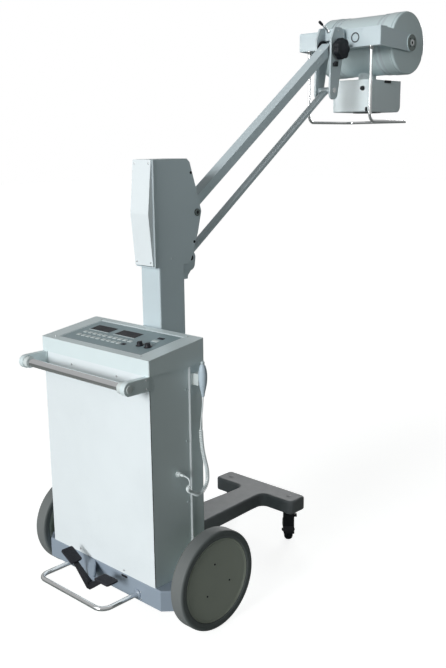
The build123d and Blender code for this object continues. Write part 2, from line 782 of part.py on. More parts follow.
lug_root = (lm_z - 68, lm_z - 57)    # heights of its lower corner
with BuildPart() as link_lug:
    for sign in (-1, 1):
        with BuildSketch(Plane.YZ.offset(sign * ear_gap / 2)):
            with BuildLine():
                Polyline(
                    (mast_y1, lug_root[0]),
                    (lm_y - 16, lug_root[0]),
                    (lm_y - 14, lug_root[1]),
                    (lm_y - 3 + ear_r, lm_z - ear_drop),
                    (lm_y + ear_r, lm_z),
                    (lm_y, lm_z + head_sheet - head_under_link - seat_gap),
                    (lm_y, head_bottom - seat_gap),
                    (mast_y1, head_bottom - seat_gap),
                    close=True,
                )
            make_face()
            with Locations((lm_y, lm_z), (lm_y - 3, lm_z - ear_drop)):
                Circle(ear_r)
            with Locations((lm_y, lm_z)):
                Circle(link_pin_d / 2 + running_fit, mode=Mode.SUBTRACT)
        extrude(amount=sign * ear_t)
link_lug.part.label = "link_lug"
export_step(link_lug.part, "parts/link_lug.step")

# Root: the two pins that carry the arm at the mast

pin_head_lip, pin_head_t = 2.0, 3.0
with BuildPart() as mast_pins:
    for py, pz, half, size in ((um_y, um_z, mast_w / 2, pin_d),
                               (lm_y, lm_z, ear_gap / 2 + ear_t, link_pin_d)):
        with BuildSketch(Plane.YZ.offset(-half)):
            with Locations((py, pz)):
                Circle(size / 2)
        extrude(amount=2 * half)
        for sign in (-1, 1):
            with BuildSketch(Plane.YZ.offset(sign * half)):
                with Locations((py, pz)):
                    Circle(size / 2 + pin_head_lip)
            extrude(amount=sign * pin_head_t)
mast_pins.part.label = "mast_pins"
export_step(mast_pins.part, "parts/mast_pins.step")

# Arm: the box beam, its pivots below its centreline

arm_plane = Plane(origin=(0, um_y, um_z),
                  x_dir=(0, cos(radians(arm_angle)), sin(radians(arm_angle))), z_dir=(1, 0, 0))
bore_r = pin_d / 2 + running_fit
with BuildPart() as upper_arm:
    with BuildSketch(arm_plane.offset(-arm_w / 2)):
        with Locations((arm_len / 2, arm_rise)):
            Rectangle(arm_len, arm_h)
            Rectangle(arm_len - 2 * boss_d, arm_h - 2 * arm_wall, mode=Mode.SUBTRACT)
    extrude(amount=arm_w)
    with BuildSketch(arm_plane.offset(-arm_w / 2)):
        with Locations((arm_len / 2, arm_rise)):
            Rectangle(arm_len - 2 * boss_d, arm_h - 2 * arm_wall)
    extrude(amount=arm_wall)
    with BuildSketch(arm_plane.offset(arm_w / 2)):
        with Locations((arm_len / 2, arm_rise)):
            Rectangle(arm_len - 2 * boss_d, arm_h - 2 * arm_wall)
    extrude(amount=-arm_wall)
    for along, half in ((0, mast_w / 2 - head_sheet - side_play), (arm_len, plate_gap / 2 - side_play)):
        with BuildSketch(arm_plane.offset(-half)):
            with Locations((along, 0)):
                Circle(boss_d / 2)
        extrude(amount=2 * half)
        with BuildSketch(arm_plane.offset(-half)):
            with Locations((along, 0)):
                Circle(bore_r)
        extrude(amount=2 * half, mode=Mode.SUBTRACT)
upper_arm.part.label = "upper_arm"
export_step(upper_arm.part, "parts/upper_arm.step")

# Lower link, parallel to the arm

link_plane = Plane(origin=(0, lm_y, lm_z), x_dir=arm_plane.x_dir, z_dir=(1, 0, 0))
with BuildPart() as lower_link:
    with BuildSketch(link_plane.offset(-link_w / 2)):
        with Locations((arm_len / 2, 0)):
            Rectangle(arm_len, link_h)
    extrude(amount=link_w)
    for along, half in ((0, ear_gap / 2 - side_play), (arm_len, plate_gap / 2 - side_play)):
        with BuildSketch(link_plane.offset(-half)):
            with Locations((along, 0)):
                Circle(link_boss_d / 2)
        extrude(amount=2 * half)
    for along, play in ((0, running_fit), (arm_len, running_fit + open_end)):
        with BuildSketch(link_plane.offset(-mast_w / 2)):
            with Locations((along, 0)):
                Circle(link_pin_d / 2 + play)
        extrude(amount=mast_w, mode=Mode.SUBTRACT)
lower_link.part.label = "lower_link"
export_step(lower_link.part, "parts/lower_link.step")

# Yoke: two plates, the clamp block between their tops, pins, knob and lever

plate_in = plate_gap / 2
plate_out = plate_in + plate_t
foot_centre = (ly_y + 1, ly_z - plate_foot_drop)
with BuildPart() as yoke_plates:
    for sign in (-1, 1):
        with BuildSketch(Plane.YZ.offset(sign * plate_in)):
            with BuildLine():
                Polyline(
                    (foot_centre[0] - plate_foot_r, foot_centre[1]),
                    (uy_y - plate_back, uy_z - plate_waist_drop),
                    (uy_y - plate_back, uy_z + plate_back_over),
                    (uy_y - plate_top_back, yoke_top),
                    (uy_y + plate_top_ahead, yoke_top),
                    (uy_y + plate_nose, yoke_top - plate_nose_drop),
                    (uy_y + plate_waist, uy_z - plate_waist_drop),
                    (foot_centre[0] + plate_foot_r, foot_centre[1]),
                    close=True,
                )
            make_face()
            fillet(vertices().group_by(Axis.Y)[-1], 7)
            with Locations(foot_centre):
                Circle(plate_foot_r)
            with Locations((uy_y, uy_z)):
                Circle(pin_d / 2 + running_fit, mode=Mode.SUBTRACT)
            with Locations((ly_y, ly_z)):
                Circle(link_pin_d / 2 + running_fit, mode=Mode.SUBTRACT)
        extrude(amount=sign * plate_t)
yoke_plates.part.label = "yoke_plates"
export_step(yoke_plates.part, "parts/yoke_plates.step")

with BuildPart() as friction_discs:
    for sign in (-1, 1):
        with BuildSketch(Plane.YZ.offset(sign * plate_in)):
            with Locations((uy_y, uy_z)):
                Circle(disc_r)
                Circle(boss_d / 2 + side_play, mode=Mode.SUBTRACT)
        extrude(amount=-sign * (plate_in - arm_w / 2 - 1.5))
friction_discs.part.label = "friction_discs"
export_step(friction_discs.part, "parts/friction_discs.step")

block_front_y = web_y - web_gap
block_rear_y = block_front_y - block_depth
block_bottom = roll_z - block_under_roll
with BuildPart() as yoke_block:
    with BuildSketch(Plane.XZ.offset(-block_front_y)):
        with Locations((0, (block_bottom + yoke_top - 2) / 2)):
            Rectangle(plate_gap, yoke_top - 2 - block_bottom)
        with Locations((0, roll_z)):
            Circle(roll_pin_d / 2 + running_fit, mode=Mode.SUBTRACT)
    extrude(amount=block_depth)
yoke_block.part.label = "yoke_block"
export_step(yoke_block.part, "parts/yoke_block.step")

with BuildPart() as yoke_pins:
    for py, pz, size, heads in ((uy_y, uy_z, pin_d, (-1,)), (ly_y, ly_z, link_pin_d, (-1, 1))):
        with BuildSketch(Plane.YZ.offset(-plate_out)):
            with Locations((py, pz)):
                Circle(size / 2)
        extrude(amount=2 * plate_out)
        for sign in heads:
            with BuildSketch(Plane.YZ.offset(sign * plate_out)):
                with Locations((py, pz)):
                    Circle(size / 2 + pin_head_lip + 1)
            extrude(amount=sign * (pin_head_t + 1))
yoke_pins.part.label = "yoke_pins"
export_step(yoke_pins.part, "parts/yoke_pins.step")

knob_core_r, knob_lobe_r = knob_d / 2 - 5, 12.0
with BuildPart() as yoke_knob:
    with BuildSketch(Plane.YZ.offset(plate_out)):
        with Locations((uy_y, uy_z)):
            Circle(pin_d / 2 + 6)
    extrude(amount=knob_neck)
    with BuildSketch(Plane.YZ.offset(plate_out + knob_neck)):
        with Locations((uy_y, uy_z)):
            Circle(knob_core_r)
            with PolarLocations(knob_d / 2 - knob_lobe_r, knob_lobes):
                Circle(knob_lobe_r)
    extrude(amount=knob_t)
yoke_knob.part.label = "yoke_knob"
export_step(yoke_knob.part, "parts/yoke_knob.step")

lever_root = Vector(-14, block_rear_y, roll_z + 19)
lever_tip = lever_root + Vector(-11, -51.5, 36)
lever_dir = (lever_tip - lever_root).normalized()
grip_len, grip_r = 22.0, lever_d / 2 + 1
with BuildPart() as clamp_lever:
    with BuildSketch(Plane.XZ.offset(-block_rear_y)):
        with Locations((lever_root.X, lever_root.Z)):
            Circle(lever_hub_d / 2)
    extrude(amount=lever_hub_d / 2)
    with BuildSketch(Plane(origin=lever_root + lever_dir * lever_hub_d / 2, z_dir=lever_dir)):
        Circle(lever_d / 2)
    extrude(amount=lever_len - lever_hub_d / 2 - grip_len / 2)
    with BuildSketch(Plane(origin=lever_root + lever_dir * (lever_len - grip_len), z_dir=lever_dir)):
        Circle(grip_r)
    extrude(amount=grip_len)
clamp_lever.part.label = "clamp_lever"
export_step(clamp_lever.part, "parts/clamp_lever.step")

# Fork: a channel across, an arm each side to the tube's pivots, and its spigot

fork_boss_r = fork_boss_d / 2
with BuildPart() as fork:
    with BuildSketch(Plane.YZ.offset(-web_half_len)):
        with Locations((web_y + web_depth / 2, (web_bottom + web_top) / 2)):
            Rectangle(web_depth, web_top - web_bottom)
        with Locations((web_y + web_depth / 2 + web_wall, (web_bottom + web_top) / 2)):
            Rectangle(web_depth, web_top - web_bottom - 2 * web_wall, mode=Mode.SUBTRACT)
    extrude(amount=2 * web_half_len)
    for sign in (-1, 1):
        with BuildSketch(Plane.YZ.offset(sign * (web_half_len - fork_arm_t))):
            with BuildLine():
                Polyline(
                    (web_y, web_bottom),
                    (tube_y, tube_z - fork_boss_r),
                    (tube_y, tube_z + fork_boss_r),
                    (web_y, web_top),
                    close=True,
                )
            make_face()
            with Locations((tube_y, tube_z)):
                Circle(fork_boss_r)
                Circle(trunnion_d / 2 + running_fit, mode=Mode.SUBTRACT)
        extrude(amount=sign * fork_arm_t)
    with BuildSketch(Plane.XZ.offset(-web_y)):
        with Locations((0, roll_z)):
            Circle(roll_pin_d / 2)
    extrude(amount=web_gap + block_depth + side_play)
    with BuildSketch(Plane.XZ.offset(-block_rear_y + side_play)):
        with Locations((0, roll_z)):
            Circle(roll_nut_d / 2)
    extrude(amount=roll_nut_t)
    with BuildSketch(Plane.XZ.offset(-web_y)):
        with Locations((index_ring_x, (web_top + web_bottom) / 2)):
            Circle(index_ring_d / 2)
            Circle(index_ring_d / 2 - 5, mode=Mode.SUBTRACT)
    extrude(amount=index_ring_h)
fork.part.label = "fork"
export_step(fork.part, "parts/fork.step")

with BuildPart() as pivot_rings:
    for sign in (-1, 1):
        with BuildSketch(Plane.YZ.offset(sign * web_half_len)):
            with Locations((tube_y, tube_z)):
                Circle(fork_boss_r)
                Circle(trunnion_d / 2 + side_play, mode=Mode.SUBTRACT)
        extrude(amount=sign * pivot_ring_t)
pivot_rings.part.label = "pivot_rings"
export_step(pivot_rings.part, "parts/pivot_rings.step")

# Fork: its hand rail, a chrome rod that hangs from the web round the collimator

handle_y = web_y + handle_inset
handle_front_y = tube_y + handle_reach
handle_z = collimator_bottom - handle_drop
with BuildPart() as head_handle:
    with BuildLine() as handle_path:
        FilletPolyline(
            (-handle_half_w, handle_y, web_bottom),
            (-handle_half_w, handle_y, handle_z),
            (-handle_half_w, handle_front_y, handle_z),
            (handle_half_w, handle_front_y, handle_z),
            (handle_half_w, handle_y, handle_z),
            (handle_half_w, handle_y, web_bottom),
            radius=handle_r,
        )
    with BuildSketch(Plane.XY.offset(web_bottom)):
        with Locations((-handle_half_w, handle_y)):
            Circle(handle_d / 2)
    sweep(path=handle_path.line)
head_handle.part.label = "head_handle"
export_step(head_handle.part, "parts/head_handle.step")

# Tube head: a barrel with two flat caps and their pivots

tube_r = tube_d / 2
barrel_half = tube_half_len - cap_len
barrel_r = tube_r - cap_lip
groove_x = tube_half_len - 13.0
tube_axis = Axis((0, tube_y, tube_z), (1, 0, 0))
with BuildPart() as tube_barrel:
    with BuildSketch(Plane.YZ.offset(-barrel_half)):
        with Locations((tube_y, tube_z)):
            Circle(barrel_r)
            Circle(barrel_r - tube_wall, mode=Mode.SUBTRACT)
    extrude(amount=2 * barrel_half)
tube_barrel.part.label = "tube_barrel"
export_step(tube_barrel.part, "parts/tube_barrel.step")

with BuildPart() as tube_caps:
    for sign in (-1, 1):
        x_in, x_out, x_rib = sign * barrel_half, sign * tube_half_len, sign * groove_x
        x_arm = sign * (web_half_len + pivot_ring_t + 1)
        rim_y = tube_y + tube_r
        with BuildSketch(Plane.XY.offset(tube_z)):
            with BuildLine():
                Polyline(
                    (x_in, tube_y + barrel_r - tube_wall),
                    (x_in, rim_y),
                    (x_rib, rim_y),
                    (x_rib, rim_y - cap_groove_depth),
                    (x_rib + sign * cap_groove_w, rim_y - cap_groove_depth),
                    (x_rib + sign * cap_groove_w, rim_y),
                    (x_out - sign * cap_round, rim_y),
                    (x_out - sign * 1.5, rim_y - 1.5),
                    (x_out, rim_y - cap_round),
                    (x_out, tube_y + trunnion_d / 2),
                    (x_arm, tube_y + trunnion_d / 2),
                    (x_arm, tube_y),
                    (x_out - sign * cap_wall, tube_y),
                    (x_out - sign * cap_wall, rim_y - 20),
                    (x_out - sign * 2 * cap_wall, tube_y + barrel_r - tube_wall),
                    close=True,
                )
            make_face()
        revolve(axis=tube_axis)
tube_caps.part.label = "tube_caps"
export_step(tube_caps.part, "parts/tube_caps.step")

# Tube head: port neck, collimator box and its knobs

col_y0 = tube_y - collimator_back
col_y1 = tube_y + collimator_ahead
with BuildPart() as port_neck:
    with BuildSketch(Plane.XY.offset(collimator_top)):
        with Locations((0, (col_y0 + col_y1) / 2)):
            Circle(neck_d / 2)
    extrude(until=Until.NEXT, target=tube_barrel.part)
port_neck.part.label = "port_neck"
export_step(port_neck.part, "parts/port_neck.step")

with BuildPart() as collimator:
    with BuildSketch(Plane.YZ.offset(-collimator_half_w)):
        with Locations(((col_y0 + col_y1) / 2, (collimator_bottom + collimator_top) / 2)):
            Rectangle(col_y1 - col_y0, collimator_h)
        nose = vertices().group_by(Axis.Y)[0].sort_by(Axis.X)[-1]
        fillet(nose, collimator_nose_r)
        fillet([v for v in vertices() if v.Y > collimator_top - 1 or v.X < col_y0 + 1], collimator_round)
    extrude(amount=2 * collimator_half_w)
collimator.part.label = "collimator"
export_step(collimator.part, "parts/collimator.step")

knob_x, knob_z, shutter_knob_r, shutter_knob_h = 56.0, collimator_top - 33.0, 8.0, 10.0
with BuildPart() as collimator_knobs:
    with BuildSketch(Plane.XZ.offset(-col_y0)):
        with Locations((knob_x, knob_z)):
            Circle(shutter_knob_r)
    extrude(amount=shutter_knob_h)
collimator_knobs.part.label = "collimator_knobs"
export_step(collimator_knobs.part, "parts/collimator_knobs.step")

# Root: hand switch in its holder on the cabinet's right side

side_x = cabinet_w / 2
switch_x, switch_y = side_x + 18 + switch_r, cab_y + switch_from_rear
switch_bottom = cabinet_top - switch_under_top
holder_depth = 26.0
holder_y0 = cab_y + cabinet_split + strip_w + 1.0    # in front of the side strip
holder_y1 = switch_y + holder_depth / 2 - 3.0
holder_z = switch_bottom + 36.0
with BuildPart() as switch_holder:
    with BuildSketch(Plane.XY.offset(holder_z)):
        with Locations((side_x + holder_base_t / 2, (holder_y0 + holder_y1) / 2)):
            Rectangle(holder_base_t, holder_y1 - holder_y0)
        with Locations(((side_x + switch_x) / 2, switch_y)):
            Rectangle(switch_x - side_x, holder_depth)
        with Locations((switch_x, switch_y)):
            Circle(holder_depth / 2)
            Circle(switch_r + 0.5, mode=Mode.SUBTRACT)
            with Locations((switch_r, 0)):
                Rectangle(2 * switch_r, 2 * switch_r, mode=Mode.SUBTRACT)
    extrude(amount=holder_h)
switch_holder.part.label = "switch_holder"
export_step(switch_holder.part, "parts/switch_holder.step")

with BuildPart() as hand_switch:
    for height, radius in ((0, 5.5), (0.2, 9), (0.5, switch_r), (0.8, 12), (1, 6)):
        with BuildSketch(Plane.XY.offset(switch_bottom + height * switch_h)):
            with Locations((switch_x, switch_y)):
                Circle(radius)
    loft()
hand_switch.part.label = "hand_switch"
export_step(hand_switch.part, "parts/hand_switch.step")

# Root: curly cord from the switch to the gland on the cabinet's side

gland_y = cab_y + gland_from_rear
gland_x = side_x + gland_h + nozzle_len


def cord_radii(points):
    """Radius of each corner's arc: 0.45 of its shorter run over the tangent of half its turn."""
    radii = []
    for a, b, c in zip(points, points[1:], points[2:]):
        run_in, run_out = Vector(*b) - Vector(*a), Vector(*c) - Vector(*b)
        half_turn = radians(run_in.get_angle(run_out)) / 2
        radii.append(0.45 * min(run_in.length, run_out.length) / tan(half_turn))
    return radii


cord_lead_points = [
    (switch_x, switch_y, switch_bottom),
    (switch_x - 1, switch_y - 2, 697),
    (switch_x - 3, switch_y - 6, 664),
    (switch_x - 4, switch_y - 8, 632),
]
cord_curl_points = [
    (switch_x - 4, switch_y - 8, 632),
    (switch_x - 4, switch_y - 6, 580),
    (switch_x - 3, switch_y + 4, 530),
    (switch_x - 2, switch_y + 17, 484),
    (switch_x - 3, switch_y + 14, 440),
    (switch_x - 6, switch_y - 16, 414),
    (switch_x - 8, switch_y - 46, 432),
]
cord_tail_points = [
    (switch_x - 8, switch_y - 46, 432),
    (switch_x - 8, switch_y - 61, 442),
    (switch_x + 1, switch_y - 74, 456),
    (switch_x + 15, switch_y - 81, 470),
    (gland_x + 26, gland_y, gland_z - 12),
    (gland_x + 18, gland_y, gland_z),
    (gland_x, gland_y, gland_z),
]
for name, points, size in (("cord_lead", cord_lead_points, cord_d), ("cord_curl", cord_curl_points, curl_d),
                           ("cord_tail", cord_tail_points, cord_d)):
    radii = cord_radii(points)
    print(name, "radii", [round(r, 1) for r in radii])
    with BuildPart() as cord:
        with BuildLine() as cord_path:
            FilletPolyline(*points, radius=radii)
        start = Vector(*points[0])
        with BuildSketch(Plane(origin=start, z_dir=Vector(*points[1]) - start)):
            Circle(size / 2)
        sweep(path=cord_path.line)
    print(name, "length", round(cord_path.wires()[0].length, 1))
    cord.part.label = name
    export_step(cord.part, f"parts/{name}.step")

with BuildPart() as cord_gland:
    with BuildSketch(Plane.YZ.offset(side_x)):
        with Locations((gland_y, gland_z)):
            RegularPolygon(10, 6)
    extrude(amount=gland_h - 9)
    with BuildSketch(Plane.YZ.offset(side_x + gland_h - 9)):
        with Locations((gland_y, gland_z)):
            Circle(8)
    extrude(amount=9)
    with BuildSketch(Plane.YZ.offset(side_x + gland_h)):
        with Locations((gland_y, gland_z)):
            Circle(4.5)
    extrude(amount=nozzle_len)
cord_gland.part.label = "cord_gland"
export_step(cord_gland.part, "parts/cord_gland.step")
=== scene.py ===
"""Dresses the mobile X-ray unit: its finishes, fasteners, curly cord, camera and light.

X runs to the operator's right, Y forward and Z up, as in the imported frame. Places are in metres there.
A sub-assembly's sizes are in millimetres, its y counted from the cabinet's rear face.
"""

from __future__ import annotations

import json
import logging
import math
from dataclasses import dataclass
from enum import Enum
from typing import Sequence
import bmesh
import bpy
from mathutils import Matrix, Vector


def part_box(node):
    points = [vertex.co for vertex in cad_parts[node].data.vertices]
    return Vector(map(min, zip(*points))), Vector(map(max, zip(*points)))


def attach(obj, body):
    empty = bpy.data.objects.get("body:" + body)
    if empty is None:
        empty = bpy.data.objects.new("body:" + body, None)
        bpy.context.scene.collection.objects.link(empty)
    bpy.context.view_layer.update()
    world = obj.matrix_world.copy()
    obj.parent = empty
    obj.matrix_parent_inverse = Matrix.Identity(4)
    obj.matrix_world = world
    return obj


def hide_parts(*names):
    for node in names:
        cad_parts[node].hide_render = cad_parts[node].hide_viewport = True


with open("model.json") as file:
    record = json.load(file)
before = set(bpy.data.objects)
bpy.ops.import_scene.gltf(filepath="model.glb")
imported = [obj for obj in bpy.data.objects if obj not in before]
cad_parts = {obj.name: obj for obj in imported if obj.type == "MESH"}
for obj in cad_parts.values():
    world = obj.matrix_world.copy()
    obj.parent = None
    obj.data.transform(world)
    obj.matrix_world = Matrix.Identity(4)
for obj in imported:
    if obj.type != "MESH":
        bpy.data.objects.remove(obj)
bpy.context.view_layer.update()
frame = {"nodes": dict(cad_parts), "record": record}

log = logging.getLogger("xray_unit")

Pair = tuple[float, float]
Triple = tuple[float, float, float]
Outline = tuple[Pair, ...]
Pairs = tuple[Pair, ...]

MM = 0.001
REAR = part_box("rear_panel")[0].y / MM
X_AXIS, Y_AXIS, Z_AXIS = Vector((1, 0, 0)), Vector((0, 1, 0)), Vector((0, 0, 1))
SIDES = (("left", -1), ("right", 1))
WHITE = (1.0, 1.0, 1.0, 1.0)

ROOT, ARM, LINK, YOKE, FORK, HEAD = "root", "arm", "link", "yoke", "fork", "tube_head"
MAST_BODIES = (ARM, LINK, YOKE, FORK, HEAD)
MAST_NODES = ("mast_column", "mast_head", "link_lug", "upper_arm", "yoke_block", "fork")
NODE_FINISHES = {**dict.fromkeys(MAST_NODES, "mast_paint"), "tube_barrel": "cap_paint",
                 "side_strips": "panel_paint", "hand_switch": "switch_plastic"}


def spot(x: float, from_rear: float, z: float) -> Vector:
    """Return a place in metres, from millimetres counted from the cabinet's rear face."""
    return Vector((x, from_rear + REAR, z)) * MM


def facing(origin: Vector, across: Vector, out: Vector) -> Matrix:
    """Return the frame whose x runs across and whose z points out of a face.

    Args:
        origin: the frame's place, in metres.
        across: the direction of its x.
        out: the direction of its z.

    Returns:
        The frame as a 4 by 4 matrix.
    """
    z = out.normalized()
    x = (across - z * across.dot(z)).normalized()
    turned = Matrix((x, z.cross(x), z)).transposed().to_4x4()
    return Matrix.Translation(origin) @ turned


def beside(out: Vector) -> Vector:
    """Return the machine's axis that lies well across a direction."""
    return X_AXIS if abs(out.normalized().x) < 0.9 else Y_AXIS


def rounded(x: float, y: float, w: float, h: float, r: float) -> list[Pair]:
    """Return a rounded rectangle's corners.

    Args:
        x: its middle, across.
        y: its middle, up.
        w: its width.
        h: its height.
        r: the radius of its corners.

    Returns:
        The corners, anticlockwise.
    """
    corners = ((w / 2 - r, h / 2 - r, 0), (-w / 2 + r, h / 2 - r, 90), (-w / 2 + r, -h / 2 + r, 180),
               (w / 2 - r, -h / 2 + r, 270))
    return [(x + cx + r * math.cos(math.radians(a + 22.5 * k)), y + cy + r * math.sin(math.radians(a + 22.5 * k)))
            for cx, cy, a in corners for k in range(5)]


class Look(Enum):
    """The ways in which a finish is made."""

    PAINT = "sprayed paint"
    CAST = "paint over a rough casting"
    CHROME = "polished chrome plate"
    BRUSHED = "brushed bare metal"
    MOULDED = "moulded plastic"
    RUBBER = "soft rubber"
    FOIL = "membrane foil"


@dataclass(frozen=True)
class Finish:
    """One finish: its colour, its gloss and the scale of its grain.

    Args:
        name: the material's name.
        look: how the surface is made.
        colour: linear red, green and blue.
        roughness: the middle of its roughness.
        grain: grain cells in a metre.
        relief: depth of the grain, in metres.
        tone: how far the colour strays, as a share.
        edge_wear_and_highlight: how far edges are pulled towards the edge colour, from 0 to 1: rubbing, together with
            a painted highlight on edges where that colour is lighter than the finish.
        worn_and_lit_edge_colour: the colour that an edge shows, rubbed and with a painted highlight.
    """

    name: str
    look: Look
    colour: Triple
    roughness: float = 0.4
    grain: float = 900.0
    relief: float = 0.000006
    tone: float = 0.03
    edge_wear_and_highlight: float = 0.25
    worn_and_lit_edge_colour: Triple = (0.62, 0.63, 0.63)


FINISHES: dict[str, Finish] = {
    finish.name: finish
    for finish in (
        Finish("white_paint", Look.PAINT, (0.77, 0.88, 0.90), 0.36),
        Finish("panel_paint", Look.PAINT, (0.85, 0.92, 0.95), 0.34),
        Finish("mast_paint", Look.PAINT, (0.60, 0.70, 0.74), 0.36, edge_wear_and_highlight=0.12),
        Finish("grey_paint", Look.PAINT, (0.53, 0.61, 0.64), 0.38, edge_wear_and_highlight=0.12),
        Finish("pan_paint", Look.PAINT, (0.30, 0.365, 0.44), 0.38),
        Finish("hub_paint", Look.PAINT, (0.44, 0.48, 0.41), 0.42, tone=0.06),
        Finish("tube_paint", Look.PAINT, (0.63, 0.71, 0.73), 0.32),
        Finish("cap_paint", Look.PAINT, (0.60, 0.71, 0.73), 0.32, edge_wear_and_highlight=0.15),
        Finish("ring_paint", Look.PAINT, (0.15, 0.19, 0.18), 0.40, worn_and_lit_edge_colour=(0.4, 0.43, 0.42)),
        Finish("leg_paint", Look.CAST, (0.19, 0.205, 0.215), 0.46, 420.0, 0.00016, 0.10),
        Finish("black_paint", Look.MOULDED, (0.014, 0.015, 0.019), 0.45, worn_and_lit_edge_colour=(0.2, 0.2, 0.2)),
        Finish("core_block", Look.CAST, (0.10, 0.10, 0.10), 0.6, 300.0, 0.0002),
        Finish("chrome", Look.CHROME, (0.78, 0.79, 0.80), 0.12, 600.0, 0.000004),
        Finish("zinc", Look.BRUSHED, (0.62, 0.64, 0.65), 0.30, 1400.0, 0.000008),
        Finish("black_plastic", Look.MOULDED, (0.008, 0.010, 0.014), 0.5, 2600.0, 0.00003, worn_and_lit_edge_colour=(0.04, 0.045, 0.05)),
        Finish("pale_plastic", Look.MOULDED, (0.72, 0.79, 0.79), 0.42, 2200.0, 0.00002),
        Finish("switch_plastic", Look.MOULDED, (0.55, 0.66, 0.74), 0.40, 2200.0, 0.00002),
        Finish("pad_rubber", Look.RUBBER, (0.020, 0.021, 0.028), 0.55, 1800.0, 0.00005, worn_and_lit_edge_colour=(0.08, 0.08, 0.09)),
        Finish("tyre_rubber", Look.RUBBER, (0.17, 0.185, 0.185), 0.62, 1200.0, 0.00006, worn_and_lit_edge_colour=(0.24, 0.25, 0.25)),
        # A darker copy of tyre_rubber: painted shade on the tyre walls.
        Finish("shaded_wall_rubber", Look.RUBBER, (0.145, 0.165, 0.165), 0.55, 1200.0, 0.00005, worn_and_lit_edge_colour=(0.2, 0.2, 0.2)),
        Finish("cord_sheath", Look.MOULDED, (0.80, 0.87, 0.88), 0.45, 2400.0, 0.00001, edge_wear_and_highlight=0.0),
        Finish("console_sheet", Look.FOIL, (0.30, 0.40, 0.43), 0.42, 1600.0, 0.00001, edge_wear_and_highlight=0.0),
    )
}


class Canvas:
    """A small helper that adds nodes to a material or a sky and joins them."""

    def __init__(self, owner: bpy.types.Material | bpy.types.World) -> None:
        """Start from the owner's nodes, which are cleared.

        Args:
            owner: the material or sky that gets the nodes.
        """
        owner.use_nodes = True
        self.tree = owner.node_tree
        self.tree.nodes.clear()

    def add(self, kind: str, inputs: dict[str, object] | None = None, **settings: object) -> bpy.types.Node:
        """Add one node.

        Args:
            kind: Blender's name of the node's type.
            inputs: values or output sockets by input name.
            settings: the node's own properties.

        Returns:
            The node.
        """
        node = self.tree.nodes.new(kind)
        for name, value in settings.items():
            setattr(node, name, value)
        for name, value in (inputs or {}).items():
            self.feed(node, name, value)
        return node

    def feed(self, node: bpy.types.Node, name: str | int, value: object) -> None:
        """Set an input to a value, or join an output socket to it.

        Args:
            node: the node.
            name: the input's name or its number.
            value: the value, or the socket to join.
        """
        socket = node.inputs[name]
        if isinstance(value, bpy.types.NodeSocket):
            self.tree.links.new(value, socket)
        else:
            socket.default_value = value

    def maths(self, operation: str, *terms: object) -> bpy.types.NodeSocket:
        """Add one Math node.

        Args:
            operation: Blender's name of the operation.
            terms: up to three values or sockets.

        Returns:
            The result's socket.
        """
        node = self.add("ShaderNodeMath", operation=operation)
        for index, term in enumerate(terms):
            self.feed(node, index, term)
        return node.outputs[0]

    def blend(self, share: object, first: object, second: object) -> bpy.types.NodeSocket:
        """Mix two colours.

        Args:
            share: how far it goes to the second, from 0 to 1.
            first: the first colour.
            second: the second colour.

        Returns:
            The mixed colour's socket.
        """
        node = self.add("ShaderNodeMix", data_type="RGBA")
        self.feed(node, 0, share)
        self.feed(node, 6, first)
        self.feed(node, 7, second)
        return node.outputs[2]

    def spread(self, value: object, low: float, high: float, to_low: float, to_high: float) -> bpy.types.NodeSocket:
        """Return a value moved from one range to another, held within it."""
        node = self.add("ShaderNodeMapRange", {"Value": value, "From Min": low, "From Max": high,
                                               "To Min": to_low, "To Max": to_high})
        return node.outputs[0]


def rgba(colour: Sequence[float], factor: float = 1.0) -> tuple[float, float, float, float]:
    """Return a colour times a factor, with full opacity."""
    return (colour[0] * factor, colour[1] * factor, colour[2] * factor, 1.0)


